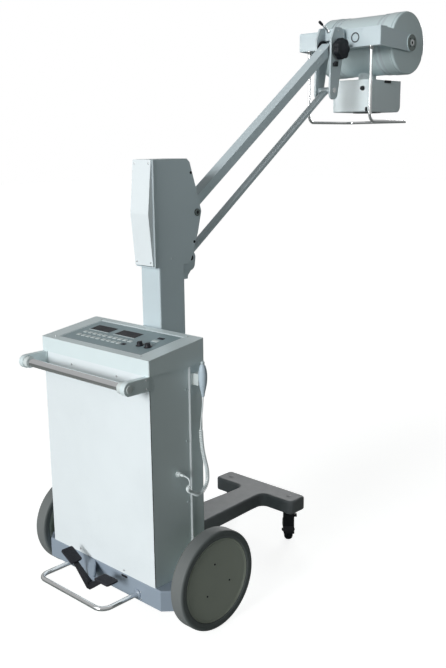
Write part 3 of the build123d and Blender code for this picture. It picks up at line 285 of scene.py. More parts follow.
class FinishShop:
    """Makes each finish's material once and hands it out."""

    EDGE_RADIUS = 0.0012
    TONE_SCALE = 3.2
    GRIME_SCALE = 38.0
    SPECK_SHARE = 0.10
    CHROME_SPECK_SHARE = 0.03
    SPECK_TONE = 0.72
    COAT_WEIGHT = 0.25
    COAT_ROUGHNESS = 0.22
    SOFT_SPECULAR = 0.3
    BUMP_STRENGTH = 0.6

    def __init__(self) -> None:
        """Start with no materials."""
        self.made: dict[str, bpy.types.Material] = {}

    def get(self, name: str) -> bpy.types.Material:
        """Hand out the material of a finish, made when first asked for.

        Args:
            name: the finish's name.

        Returns:
            The material.
        """
        if name not in self.made:
            self.made[name] = self.make(FINISHES[name])
        return self.made[name]

    def make(self, finish: Finish) -> bpy.types.Material:
        """Build one finish as a procedural material.

        Args:
            finish: the finish to build.

        Returns:
            The material, which reads Object coordinates only.
        """
        material = bpy.data.materials.new(finish.name)
        canvas = Canvas(material)
        place = canvas.add("ShaderNodeTexCoord").outputs["Object"]
        tone = canvas.add("ShaderNodeTexNoise", {"Vector": place, "Scale": self.TONE_SCALE, "Detail": 5.0}).outputs[0]
        grime = canvas.add("ShaderNodeTexNoise", {"Vector": place, "Scale": self.GRIME_SCALE, "Detail": 6.0,
                                                  "Roughness": 0.62}).outputs[0]
        share = canvas.spread(tone, 0.35, 0.65, 0.0, 1.0)
        body = canvas.blend(share, rgba(finish.colour, 1 - finish.tone), rgba(finish.colour, 1 + finish.tone))
        speck_share = self.CHROME_SPECK_SHARE if finish.look is Look.CHROME else self.SPECK_SHARE
        speck = canvas.spread(grime, 0.62, 0.78, 0.0, speck_share)
        body = canvas.blend(speck, body, rgba(finish.colour, self.SPECK_TONE))
        # Edges take the edge colour: rubbing, and a painted highlight where that colour is lighter than the finish.
        if finish.edge_wear_and_highlight > 0:
            body = canvas.blend(self.worn_and_lit_edge_share(canvas, grime, finish.edge_wear_and_highlight), body, rgba(finish.worn_and_lit_edge_colour))
        shader = canvas.add("ShaderNodeBsdfPrincipled", {"Base Color": body})
        rough = canvas.spread(grime, 0.3, 0.7, finish.roughness - 0.05, finish.roughness + 0.07)
        canvas.feed(shader, "Roughness", rough)
        canvas.feed(shader, "Normal", self.relief(canvas, place, finish))
        if finish.look in (Look.CHROME, Look.BRUSHED):
            canvas.feed(shader, "Metallic", 1.0)
        elif finish.look is Look.PAINT:
            canvas.feed(shader, "Coat Weight", self.COAT_WEIGHT)
            canvas.feed(shader, "Coat Roughness", self.COAT_ROUGHNESS)
        elif finish.look in (Look.MOULDED, Look.RUBBER):
            canvas.feed(shader, "Specular IOR Level", self.SOFT_SPECULAR)
        out = canvas.add("ShaderNodeOutputMaterial")
        canvas.feed(out, "Surface", shader.outputs[0])
        material.diffuse_color = rgba(finish.colour)
        return material

    def worn_and_lit_edge_share(self, canvas: Canvas, grime: bpy.types.NodeSocket, edge_wear_and_highlight: float) -> bpy.types.NodeSocket:
        """Find how far an edge takes the edge colour, from the turn of the normal within a small radius: rubbing,
        together with a painted highlight along the edge.

        Args:
            canvas: the material's canvas.
            grime: the noise that makes the rubbing patchy.
            edge_wear_and_highlight: how far edges are rubbed and lit by painted highlight, from 0 to 1.

        Returns:
            The share's socket.
        """
        true_normal = canvas.add("ShaderNodeNewGeometry").outputs["Normal"]
        soft_normal = canvas.add("ShaderNodeBevel", {"Radius": self.EDGE_RADIUS}, samples=4).outputs[0]
        match = canvas.add("ShaderNodeVectorMath", {0: true_normal, 1: soft_normal}, operation="DOT_PRODUCT")
        edge = canvas.spread(match.outputs["Value"], 0.98, 0.80, 0.0, 1.0)
        patchy = canvas.spread(grime, 0.38, 0.62, 0.15, 1.0)
        return canvas.maths("MULTIPLY", canvas.maths("MULTIPLY", edge, patchy), edge_wear_and_highlight)

    def relief(self, canvas: Canvas, place: bpy.types.NodeSocket, finish: Finish) -> bpy.types.NodeSocket:
        """Raise a finish's grain.

        Args:
            canvas: the material's canvas.
            place: the place on the piece.
            finish: the finish.

        Returns:
            The normal's socket.
        """
        if finish.look is Look.BRUSHED:
            place = canvas.add("ShaderNodeMapping", {"Vector": place, "Scale": (1.0, 1.0, 0.04)}).outputs[0]
        if finish.look is Look.CAST:
            cells = canvas.add("ShaderNodeTexVoronoi", {"Vector": place, "Scale": finish.grain},
                               feature="SMOOTH_F1")
            height = cells.outputs["Distance"]
        else:
            height = canvas.add("ShaderNodeTexNoise", {"Vector": place, "Scale": finish.grain,
                                                       "Detail": 3.0}).outputs[0]
        bump = canvas.add("ShaderNodeBump", {"Height": height, "Strength": self.BUMP_STRENGTH,
                                             "Distance": finish.relief})
        return bump.outputs[0]


@dataclass(frozen=True)
class Lamp:
    """One lamp of the studio.

    Args:
        name: the lamp's name.
        kind: Blender's name of its type.
        energy: its strength.
        place: where it stands, or for a sun the way that it shines from.
        target: where it points.
        width: the angle of a sun or of a spot's cone, in degrees, or a soft box's side, in metres.
        softness: a spot's radius, in metres.
        colour: its colour.
    """

    name: str
    kind: str
    energy: float
    place: Vector
    target: Vector
    width: float
    softness: float = 0.0
    colour: Triple = (1.0, 1.0, 1.0)

    def hang(self) -> None:
        """Add the lamp, turned towards its target and hidden from the camera."""
        data = bpy.data.lights.new(self.name, self.kind)
        data.energy = self.energy
        data.color = self.colour
        if self.kind == "SUN":
            data.angle = math.radians(self.width)
        elif self.kind == "AREA":
            data.size = self.width
        else:
            data.spot_size = math.radians(self.width)
            data.spot_blend = 1.0
            data.shadow_soft_size = self.softness
        lamp = bpy.data.objects.new(self.name, data)
        lamp.location = self.place
        lamp.rotation_euler = (self.place - self.target).to_track_quat("Z", "Y").to_euler()
        lamp.visible_camera = False
        bpy.context.scene.collection.objects.link(lamp)


class Studio:
    """The camera of the photograph, a pale floor and soft light from behind the operator."""

    camera_place = Vector((2.078, REAR * MM - 1.617, 1.488))
    camera_right = Vector((0.7287, 0.6849, -0.0111))
    camera_up = Vector((-0.1404, 0.1651, 0.9763))
    camera_ahead = Vector((-0.6704, 0.7098, -0.2164))
    lens_mm = 46.98
    sensor_mm = 36.0
    floor_half = 26.0
    floor_tints = ((0.41, 0.435, 0.42, 1.0), (0.425, 0.45, 0.435, 1.0))
    floor_glow = 0.87
    floor_mirrored = 0.03
    sky_tint = (0.92, 1.0, 0.96, 1.0)
    sky_strength = 0.055
    sky_mirrored = 0.46
    lamps = (
        Lamp("key_light", "SUN", 2.15, Vector((0.03, -1.0, 0.27)), Vector(), 22.0),
        Lamp("front_fill", "SUN", 1.5, Vector((-0.4, 1.0, 0.14)), Vector(), 22.0),
        Lamp("soft_box", "AREA", 26.0, spot(-500, -3000, 1900), spot(0, 600, 1000), 3.0),
        Lamp("head_fill", "SPOT", 63.0, spot(3000, 300, 2450), spot(0, 850, 1680), 46.0, 0.5, (0.90, 0.98, 1.0)),
        Lamp("collimator_beam", "SPOT", 205.0, spot(-1900, -900, 1700), spot(0, 1335, 1615), 8.6, 0.35),
        Lamp("leg_light", "SPOT", 27.0, spot(-1000, 1900, 1300), spot(0, 620, 180), 42.0, 0.4),
    )

    def set_up(self) -> None:
        """Place the camera, the floor, the lamps and the sky."""
        self.place_camera()
        self.lay_floor()
        for lamp in self.lamps:
            lamp.hang()
        self.hang_sky()
        bpy.context.scene.view_settings.view_transform = "Standard"

    def place_camera(self) -> None:
        """Put the camera at the photograph's viewpoint."""
        data = bpy.data.cameras.new("photo_camera")
        data.lens = self.lens_mm
        data.sensor_width = self.sensor_mm
        data.sensor_fit = "AUTO"
        data.clip_end = 60.0
        camera = bpy.data.objects.new("photo_camera", data)
        axes = Matrix((self.camera_right, self.camera_up, -self.camera_ahead)).transposed().to_4x4()
        camera.matrix_world = Matrix.Translation(self.camera_place) @ axes
        bpy.context.scene.collection.objects.link(camera)
        bpy.context.scene.camera = camera

    @staticmethod
    def seen(canvas: Canvas, mirrored: float) -> bpy.types.NodeSocket:
        """Tell the rays that see a backdrop from those that only light the unit.

        Args:
            canvas: the canvas of the floor or the sky.
            mirrored: the share on mirrored rays.

        Returns:
            The socket of 1 on the camera's own rays, the share on mirrored ones and 0 on the rest.
        """
        rays = canvas.add("ShaderNodeLightPath")
        share = canvas.maths("MULTIPLY", rays.outputs["Is Glossy Ray"], mirrored)
        return canvas.maths("MAXIMUM", rays.outputs["Is Camera Ray"], share)

    def lay_floor(self) -> None:
        """Lay a pale floor that keeps the unit's shadow."""
        shape = bmesh.new()
        bmesh.ops.create_grid(shape, x_segments=1, y_segments=1, size=self.floor_half)
        floor = finished("studio_floor", shape, stage_only=True)
        material = bpy.data.materials.new("studio_floor")
        canvas = Canvas(material)
        place = canvas.add("ShaderNodeTexCoord").outputs["Object"]
        cloud = canvas.add("ShaderNodeTexNoise", {"Vector": place, "Scale": 0.6, "Detail": 2.0}).outputs[0]
        tint = canvas.blend(cloud, *self.floor_tints)
        glow = canvas.maths("MULTIPLY", self.seen(canvas, self.floor_mirrored), self.floor_glow)
        shader = canvas.add("ShaderNodeBsdfPrincipled", {
            "Base Color": tint, "Roughness": 0.85, "Specular IOR Level": 0.1,
            "Emission Color": WHITE, "Emission Strength": glow})
        canvas.add("ShaderNodeOutputMaterial", {"Surface": shader.outputs[0]})
        floor.data.materials.append(material)

    def hang_sky(self) -> None:
        """Add a sky that the camera sees as white and that lights the unit softly."""
        world = bpy.data.worlds.new("studio_sky")
        canvas = Canvas(world)
        white = canvas.add("ShaderNodeBackground", {"Color": WHITE, "Strength": 1.0})
        soft = canvas.add("ShaderNodeBackground", {"Color": self.sky_tint, "Strength": self.sky_strength})
        pick = canvas.add("ShaderNodeMixShader", {0: self.seen(canvas, self.sky_mirrored), 1: soft.outputs[0],
                                                  2: white.outputs[0]})
        canvas.add("ShaderNodeOutputWorld", {"Surface": pick.outputs[0]})
        bpy.context.scene.world = world


def shade(slot: str, body: str) -> str:
    """Return the finish of a slot on a body: the white paint is a tone greyer from the mast outwards."""
    return "mast_paint" if body in MAST_BODIES and slot in ("white_paint", "panel_paint") else slot


def finished(name: str, shape: bmesh.types.BMesh, body: str = ROOT, slot: str = "", stage_only: bool = False,
             smooth_angle: float = 35.0, finish: str = "") -> bpy.types.Object:
    """Turn a bmesh into a finished piece at the origin.

    Args:
        name: the piece's name.
        shape: its shape in the unit's frame, which is freed.
        body: the moving body that it rides on.
        slot: the finish that it takes, if it has one of the record's.
        stage_only: true for the floor, which rides on nothing.
        smooth_angle: edges that turn less than this are shaded smooth.
        finish: the finish that it shows, where that isn't the slot's own.

    Returns:
        The new object.
    """
    mesh = bpy.data.meshes.new(name)
    for edge in shape.edges:
        edge.smooth = len(edge.link_faces) == 2 and edge.calc_face_angle(0.0) < math.radians(smooth_angle)
    for face in shape.faces:
        face.smooth = True
    shape.to_mesh(mesh)
    shape.free()
    piece = bpy.data.objects.new(name, mesh)
    bpy.context.scene.collection.objects.link(piece)
    if not stage_only:
        evened = piece.modifiers.new("even_normals", "WEIGHTED_NORMAL")
        evened.keep_sharp = True
        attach(piece, body)
    if slot:
        piece.data.materials.append(shop.get(finish or shade(slot, body)))
    return piece


shop = FinishShop()


class CadNodes:
    """Gives every visible CAD node its finish."""

    def dress(self) -> None:
        """Put on each node the finish that NODE_FINISHES gives it, or else the record's slot finish."""
        slots = {part["node"]: part["material_slot"] for part in frame["record"]["subparts"]}
        for name, slot in slots.items():
            node = frame["nodes"][name]
            node.data.materials.clear()
            node.data.materials.append(shop.get(NODE_FINISHES.get(name, slot)))
        log.info("dressed %d nodes", len(slots))


class Sculpt:
    """One piece's shape while it is made; sizes in millimetres, places in metres."""

    def __init__(self) -> None:
        """Start empty, with the first finish on the brush."""
        self.shape = bmesh.new()
        self.coat = 0

    def take(self, part: bmesh.types.BMesh) -> "Sculpt":
        """Add a finished part's faces in the current coat, and free the part.

        Args:
            part: the part, in the unit's frame.

        Returns:
            This sculpt.
        """
        bmesh.ops.recalc_face_normals(part, faces=part.faces)
        moved = {v: self.shape.verts.new(v.co) for v in part.verts}
        for face in part.faces:
            self.shape.faces.new([moved[v] for v in face.verts]).material_index = self.coat
        part.free()
        return self

    @staticmethod
    def soften(part: bmesh.types.BMesh, bevel: float, segments: int, least_turn: float = 25.0) -> None:
        """Round a part's sharp edges.

        Args:
            part: the part.
            bevel: the rounding, in millimetres.
            segments: the rounding's segments.
            least_turn: the least turn of an edge that is rounded, in degrees.
        """
        sharp = [e for e in part.edges
                 if len(e.link_faces) == 2 and e.calc_face_angle(0.0) > math.radians(least_turn)]
        bmesh.ops.bevel(part, geom=sharp, offset=bevel * MM, affect="EDGES", segments=segments, profile=0.5,
                        material=-1, clamp_overlap=True)

    def box(self, low: Vector, high: Vector, bevel: float = 0.0, segments: int = 2) -> "Sculpt":
        """Add a box between two corners.

        Args:
            low: its lower corner.
            high: its upper corner.
            bevel: the rounding of its edges, in millimetres.
            segments: the rounding's segments.

        Returns:
            This sculpt.
        """
        part = bmesh.new()
        size = high - low
        bmesh.ops.create_cube(part, size=1.0,
                              matrix=Matrix.Translation((low + high) / 2) @ Matrix.Diagonal((*size, 1.0)))
        if bevel:
            self.soften(part, bevel, segments)
        return self.take(part)

    def prism(self, outline: Sequence[Pair], where: Matrix, depth: float, bevel: float = 0.0,
              segments: int = 2) -> "Sculpt":
        """Add an outline pushed out along a frame's z.

        Args:
            outline: its corners in the frame, in millimetres.
            where: the frame.
            depth: how far it stands out, in millimetres.
            bevel: the rounding of its sharp edges, in millimetres.
            segments: the rounding's segments.

        Returns:
            This sculpt.
        """
        part = bmesh.new()
        foot = [part.verts.new(where @ Vector((x * MM, y * MM, 0))) for x, y in outline]
        face = part.faces.new(foot)
        grown = bmesh.ops.extrude_face_region(part, geom=[face])
        lift = where.to_3x3() @ Vector((0, 0, depth * MM))
        bmesh.ops.translate(part, vec=lift, verts=[v for v in grown["geom"] if isinstance(v, bmesh.types.BMVert)])
        bmesh.ops.recalc_face_normals(part, faces=part.faces)
        if bevel:
            self.soften(part, bevel, segments)
        return self.take(part)

    def lathe(self, profile: Sequence[Pair], where: Matrix, steps: int = 48,
              closed: bool = False) -> "Sculpt":
        """Turn a profile about a frame's z.

        Args:
            profile: pairs of height and radius, in millimetres.
            where: the frame.
            steps: how many facets go round.
            closed: true when the last point joins the first.

        Returns:
            This sculpt.
        """
        part = bmesh.new()
        line = [part.verts.new(where @ Vector((radius * MM, 0, height * MM))) for height, radius in profile]
        pairs = list(zip(line, line[1:])) + ([(line[-1], line[0])] if closed else [])
        edges = [part.edges.new(pair) for pair in pairs]
        bmesh.ops.spin(part, geom=line + edges, cent=where.translation, axis=where.to_3x3() @ Z_AXIS,
                       angle=math.tau, steps=steps, use_merge=True, dvec=(0, 0, 0))
        bmesh.ops.remove_doubles(part, verts=part.verts, dist=0.000001)
        bmesh.ops.dissolve_degenerate(part, edges=part.edges, dist=0.000001)
        return self.take(part)

    def disc(self, where: Matrix, radius: float, height: float, bevel: float = 0.6, steps: int = 32) -> "Sculpt":
        """Add a low round boss with a softened rim.

        Args:
            where: the frame of its foot.
            radius: its radius, in millimetres.
            height: its height, in millimetres.
            bevel: the softening of its rim, in millimetres.
            steps: how many facets go round.

        Returns:
            This sculpt.
        """
        turn = bevel * 0.3
        return self.lathe([(0, 0), (0, radius), (height - bevel, radius), (height - turn, radius - turn),
                           (height, radius - bevel), (height, 0)], where, steps)

    def ring(self, where: Matrix, inner: float, outer: float, height: float, bevel: float = 0.5,
             steps: int = 48) -> "Sculpt":
        """Add a flat ring with softened rims.

        Args:
            where: the frame of its foot.
            inner: its inner radius, in millimetres.
            outer: its outer radius, in millimetres.
            height: its height, in millimetres.
            bevel: the softening of its rims, in millimetres.
            steps: how many facets go round.

        Returns:
            This sculpt.
        """
        return self.lathe([(0, inner), (0, outer), (height - bevel, outer), (height, outer - bevel),
                           (height, inner + bevel), (height - bevel, inner)], where, steps, closed=True)

    def rod(self, start: Vector, end: Vector, radius: float, bevel: float = 0.5, steps: int = 24) -> "Sculpt":
        """Add a round rod between two places.

        Args:
            start: the middle of one end.
            end: the middle of the other.
            radius: its radius, in millimetres.
            bevel: the rounding of its ends, in millimetres.
            steps: how many facets go round.

        Returns:
            This sculpt.
        """
        along = end - start
        length = along.length / MM
        return self.lathe([(0, 0), (0, radius - bevel), (bevel, radius), (length - bevel, radius),
                           (length, radius - bevel), (length, 0)], facing(start, beside(along), along), steps)

    def bead(self, points: Sequence[Vector], radius: float, steps: int = 8) -> "Sculpt":
        """Add a thin round bead along a closed line of places.

        Args:
            points: the line's places.
            radius: the bead's radius, in millimetres.
            steps: how many facets go round it.

        Returns:
            This sculpt.
        """
        part = bmesh.new()
        rings = []
        count = len(points)
        for index, place in enumerate(points):
            along = (points[(index + 1) % count] - points[index - 1]).normalized()
            side = X_AXIS if abs(along.x) < 0.9 else Z_AXIS
            here = facing(place, side, along)
            rings.append([part.verts.new(here @ (Vector((math.cos(a), math.sin(a), 0)) * radius * MM))
                          for a in (math.tau * k / steps for k in range(steps))])
        for here, there in zip(rings, rings[1:] + rings[:1]):
            for k in range(steps):
                part.faces.new((here[k], here[(k + 1) % steps], there[(k + 1) % steps], there[k]))
        return self.take(part)

    def done(self, name: str, body: str, *slots: str, extra: Sequence[str] = (), replaces: Sequence[str] = (),
             smooth_angle: float = 35.0, finish: str = "") -> bpy.types.Object:
        """Finish the piece.

        Args:
            name: the piece's name.
            body: the moving body that it rides on.
            slots: the record's slots, by coat.
            extra: finishes of the scene's own, for the coats after them.
            replaces: the CAD nodes that it stands for.
            smooth_angle: edges that turn less than this are shaded smooth.
            finish: the first coat's finish, where that isn't the slot's own.

        Returns:
            The new object.
        """
        piece = finished(name, self.shape, body, slots[0], smooth_angle=smooth_angle, finish=finish)
        for other in (*slots[1:], *extra):
            piece.data.materials.append(shop.get(shade(other, body)))
        if replaces:
            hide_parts(*replaces)
        log.info("%s on %s, %d faces", name, body, len(piece.data.polygons))
        return piece


class Hardware:
    """Screws, bolts and plugs, gathered into one piece for each body and finish."""

    def __init__(self) -> None:
        """Start with no hardware."""
        self.trays: dict[tuple[str, str], Sculpt] = {}

    def tray(self, body: str, slot: str) -> Sculpt:
        """Return the piece that gathers a body's hardware in one finish."""
        return self.trays.setdefault((body, slot), Sculpt())

    def screw(self, body: str, place: Vector, out: Vector, radius: float = 4.2, slot: str = "zinc") -> None:
        """Add a cap screw with a socket, its head seated on a face.

        Args:
            body: the moving body that it rides on.
            place: where it sits.
            out: the way that it points, away from the face.
            radius: its radius, in millimetres.
            slot: its finish.
        """
        self.tray(body, slot).lathe(
            [(-0.4, 0), (-0.4, radius), (radius * 0.35, radius), (radius * 0.52, radius * 0.88),
             (radius * 0.58, radius * 0.66), (radius * 0.58, radius * 0.42), (radius * 0.15, radius * 0.38),
             (radius * 0.15, 0)], facing(place, beside(out), out), 24)

    def nut(self, body: str, place: Vector, out: Vector, radius: float, height: float, slot: str = "zinc") -> None:
        """Add a hexagon nut with a washer under it.

        Args:
            body: the moving body that it rides on.
            place: where it sits.
            out: the way that it points, away from the face.
            radius: its radius, in millimetres.
            height: its height, in millimetres.
            slot: its finish.
        """
        side = beside(out)
        where = facing(place, side, out)
        outline = [(radius * math.cos(math.tau * k / 6), radius * math.sin(math.tau * k / 6)) for k in range(6)]
        tray = self.tray(body, slot)
        tray.ring(where, radius * 0.4, radius * 1.25, 1.0, 0.3)
        tray.prism(outline, facing(place + out.normalized() * MM, side, out), height - 1, 0.5, 2)
        tray.disc(facing(place + out.normalized() * (height - 0.2) * MM, side, out), radius * 0.5, 1.4, 0.5)

    def plug(self, body: str, place: Vector, out: Vector, radius: float, slot: str) -> None:
        """Add a low domed plug."""
        self.tray(body, slot).lathe([(-0.4, 0), (-0.4, radius), (0.5, radius), (1.1, radius * 0.8),
                                     (1.4, radius * 0.4), (1.5, 0)], facing(place, beside(out), out), 24)

    def done(self) -> None:
        """Finish every gathered piece."""
        for (body, slot), tray in self.trays.items():
            tray.done(f"hardware_{body}_{slot}", body, slot)


@dataclass(frozen=True)
class RearWheels:
    """Tyres with dark walls and a pale tread, the walls a darker copy of the tread's rubber as painted shade, and the
    screws and trim rings of the cover discs.

    Sizes are in millimetres, here and in every sub-assembly below.
    """

    mid_x: float = 343.5
    from_rear: float = 160.0
    radius: float = 160.0
    rim: float = 135.1
    half_w: float = 25.0
    shoulder: Outline = ((4, 1.1), (7, 0.3), (10, 0))
    wall: Outline = ((4, 1.1), (1.4, 3.4), (0, 8), (0.2, 12), (0.7, 12.4), (0.7, 14.4), (0.2, 14.8), (0, 20))
    lip: Outline = ((1, 1.5), (2.4, 0))
    facets: int = 128
    disc_x: float = 363.0
    screws: int = 3
    screw_circle: float = 58.0
    screw_start: float = 100.0
    screw_r: float = 3.0
    trim: Pair = (125.6, 127.4)

    def build(self, hardware: Hardware) -> None:
        """Make both wheels' pieces.

        Args:
            hardware: the trays that gather its screws, nuts and plugs.
        """
        for side, sign in SIDES:
            body = f"wheel_{side}"
            out = X_AXIS * sign
            hub = facing(spot(sign * self.mid_x, self.from_rear, self.radius), Y_AXIS, out)
            self.tyre(hub).done(f"tyre_{side}", body, "tyre_rubber", extra=("shaded_wall_rubber",),
                                replaces=(f"wheel_{side}_tyre",))
            for k in range(self.screws):
                turn = math.radians(self.screw_start + 360 / self.screws * k)
                place = spot(sign * self.disc_x, self.from_rear + self.screw_circle * math.cos(turn),
                             self.radius + self.screw_circle * math.sin(turn))
                hardware.screw(body, place, out, self.screw_r, "black_plastic")
            disc = facing(spot(sign * self.disc_x, self.from_rear, self.radius), Y_AXIS, out)
            Sculpt().ring(disc, *self.trim, 0.9, 0.3, self.facets).done(f"hub_trim_{side}", body, "hub_paint")

    def tyre(self, hub: Matrix) -> Sculpt:
        """Turn one tyre.

        Args:
            hub: the wheel's frame, its z out along the axle.

        Returns:
            The tyre, its walls in the second coat: a darker copy of the rubber, painted shade.
        """
        h, r = self.half_w, self.radius
        tread = [(-h + inset, r - drop) for inset, drop in self.shoulder]
        tread += [(h - inset, r - drop) for inset, drop in reversed(self.shoulder)]
        wall = [(h - inset, r - drop) for inset, drop in self.wall]
        wall += [(h - inset, self.rim + rise) for inset, rise in self.lip]
        seat = h - self.lip[-1][0]
        tyre = Sculpt()
        tyre.lathe(tread, hub, self.facets)
        # The walls take the second coat, a darker copy of the rubber: painted shade.
        tyre.coat = 1
        tyre.lathe(wall, hub, self.facets)
        tyre.lathe([(-x, radius) for x, radius in wall], hub, self.facets)
        tyre.lathe([(seat, self.rim), (-seat, self.rim)], hub, self.facets)
        bmesh.ops.remove_doubles(tyre.shape, verts=tyre.shape.verts, dist=0.00002)
        bmesh.ops.recalc_face_normals(tyre.shape, faces=tyre.shape.faces)
        return tyre


@dataclass(frozen=True)
class Casters:
    """Round-treaded caster wheels, their axle nuts and the ribbed dust ring of each swivel."""

    x: float = 146.0
    from_rear: float = 778.5
    turn: float = 223.0
    trail: float = 20.0
    radius: float = 37.5
    half_w: float = 16.0
    tread: float = 15.5
    tread_fullness: float = 0.8
    axle_r: float = 4.0
    axle_over: float = 6.0
    cheek_x: float = 20.0
    nut: Pair = (5.5, 4.0)
    crown_z: float = 118.5
    crown: Outline = ((0, 12), (0, 20.5), (1.2, 21.6), (4, 21.6), (7, 20), (7, 12))
    rib_z: float = 107.2
    ribs: int = 3
    rib_pitch: float = 2.6
    rib_len: float = 12.0

    def build(self, hardware: Hardware) -> None:
        """Make both casters' pieces.

        Args:
            hardware: the trays that gather its screws, nuts and plugs.
        """
        turn = math.radians(self.turn)
        axle = Vector((math.cos(turn), math.sin(turn), 0))
        back = Vector((math.sin(turn), -math.cos(turn), 0))
        for side, sign in SIDES:
            body = f"caster_{side}"
            centre = spot(sign * self.x, self.from_rear, self.radius) + back * self.trail * MM
            self.wheel(facing(centre, Z_AXIS, axle)).done(
                f"caster_wheel_{side}", f"{body}_roller", "black_plastic", extra=("grey_paint",),
                replaces=(f"caster_{side}_wheel",))
            for end in (-1, 1):
                hardware.nut(body, centre + axle * end * self.cheek_x * MM, axle * end, *self.nut, "black_plastic")
            crown = facing(spot(sign * self.x, self.from_rear, self.crown_z), X_AXIS, Z_AXIS)
            dust = Sculpt().lathe(self.crown, crown, closed=True)
            for rib in range(self.ribs):
                reach = self.cheek_x + 3 + self.rib_pitch * rib
                tab = spot(sign * self.x, self.from_rear, self.rib_z) - axle * reach * MM
                dust.rod(tab, tab + back * self.rib_len * MM, 0.9, 0.3, 10)
            dust.done(f"caster_ring_{side}", body, "black_plastic")

    def wheel(self, hub: Matrix) -> Sculpt:
        """Turn one caster's wheel.

        Args:
            hub: the wheel's frame, its z out along the axle.

        Returns:
            The wheel: a full round tread, and hub faces in the second coat.
        """
        h, rim = self.half_w, self.radius - self.tread
        angles = [math.radians(-88 + 176 * k / 20) for k in range(21)]
        wheel = Sculpt().lathe(
            [(h * math.sin(a), rim + self.tread * math.cos(a) ** self.tread_fullness) for a in angles], hub, 72)
        wheel.coat = 1
        face = [(h, rim + 1), (h - 1.5, rim - 1), (h - 2.5, 12), (h, 10), (h, self.axle_r)]
        wheel.lathe(face, hub, 72)
        wheel.lathe([(-x, r) for x, r in face], hub, 72)
        end, r = h + self.axle_over, self.axle_r
        wheel.lathe([(-end, 0), (-end, r), (end, r), (end, 0)], hub, 24)
        return wheel


@dataclass(frozen=True)
class Cabinet:
    """Strips, seams and screws of the cabinet, and the fittings of its pan."""

    half_w: float = 255.0
    side_screws: tuple[float, ...] = (756.0, 592.0, 393.0, 215.0)
    side_screw_y: float = 147.0
    rear_screws: Pairs = ((110.0, 169.5), (110.0, 802.0))
    screw_r: float = 3.6
    strip: Outline = ((-1, 157.6), (0.2, 157.6), (3.8, 161.2), (3.8, 165.0), (2.6, 166), (-1, 166))
    strip_z: float = 156.0
    strip_h: float = 670.0
    seam_y: Pair = (1.2, 2.4)
    seam_z: Pair = (158.0, 825.0)
    slot: Pair = (110.0, 147.5)
    slot_half: float = 11.0
    slot_r: float = 4.0
    bar_x: Pair = (-154.0, 170.0)
    bar_z: float = 109.0
    flange: Outline = ((-0.5, 8), (-0.5, 15), (2.5, 15), (3.5, 13.5), (4, 10.5), (7, 9), (7, 7.4))
    flange_screw_z: Pair = (97.0, 121.0)
    flange_screw_x: float = 17.0
    axle_bolt_x: float = 292.0
    axle_bolt_y: Pair = (126.0, 194.0)
    axle_bolt_z: float = 156.0

    def build(self, hardware: Hardware) -> None:
        """Make the cabinet's pieces.

        Args:
            hardware: the trays that gather its screws, nuts and plugs.
        """
        strips, seams = Sculpt(), Sculpt()
        foot = facing(Z_AXIS * self.strip_z * MM, X_AXIS, Z_AXIS)
        for sign in (-1, 1):
            outline = [(sign * (self.half_w + out), from_rear + REAR) for out, from_rear in self.strip]
            strips.prism(outline, foot, self.strip_h, 0.3, 2)
            for z in self.side_screws:
                hardware.screw(ROOT, spot(sign * self.half_w, self.side_screw_y, z), X_AXIS * sign, self.screw_r,
                               "grey_paint")
            for x, z in self.rear_screws:
                hardware.screw(ROOT, spot(sign * x, 0, z), -Y_AXIS, self.screw_r)
            near, far = sorted((sign * (self.half_w - 0.6), sign * (self.half_w + 0.15)))
            seams.box(spot(near, self.seam_y[0], self.seam_z[0]), spot(far, self.seam_y[1], self.seam_z[1]))
        strips.done("cabinet_strips", ROOT, "panel_paint", replaces=("side_strips",))
        seams.done("cabinet_seams", ROOT, "black_paint")
        self.pan(hardware)

    def pan(self, hardware: Hardware) -> None:
        """Add a black plate in the pan's slot as painted shade for its dark inside, the stand bar's flanges and the
        axle brackets' bolts.

        Args:
            hardware: the trays that gather its screws, nuts and plugs.
        """
        # The slot is a thin black plate on the pan's face: painted shade for the dark inside of the opening.
        r = self.slot_r
        outline = [(sign * self.slot_half + r * math.cos(a), r * math.sin(a)) for sign, start in ((1, -90), (-1, 90))
                   for a in (math.radians(start + 18 * k) for k in range(11))]
        slot_x, slot_z = self.slot
        slot = Sculpt().prism(outline, facing(spot(slot_x, 0.4, slot_z), X_AXIS, -Y_AXIS), 0.7)
        slot.done("pan_slot_shade", ROOT, "black_paint")
        flanges = Sculpt()
        for x in self.bar_x:
            flanges.lathe(self.flange, facing(spot(x, 0, self.bar_z), X_AXIS, -Y_AXIS))
            for z in self.flange_screw_z:
                hardware.screw(ROOT, spot(x + self.flange_screw_x, 0, z), -Y_AXIS, 2.4)
        flanges.done("stand_bar_flanges", ROOT, "pan_paint")
        for sign in (-1, 1):
            for y in self.axle_bolt_y:
                hardware.nut(ROOT, spot(sign * self.axle_bolt_x, y, self.axle_bolt_z), Z_AXIS, 5.5, 5)


@dataclass(frozen=True)
class Key:
    """A key, lamp or window on the console, by its middle in the panel's plane, in millimetres."""

    x: float
    y: float
    w: float = 17.0
    h: float = 13.0
    finish: int = 2


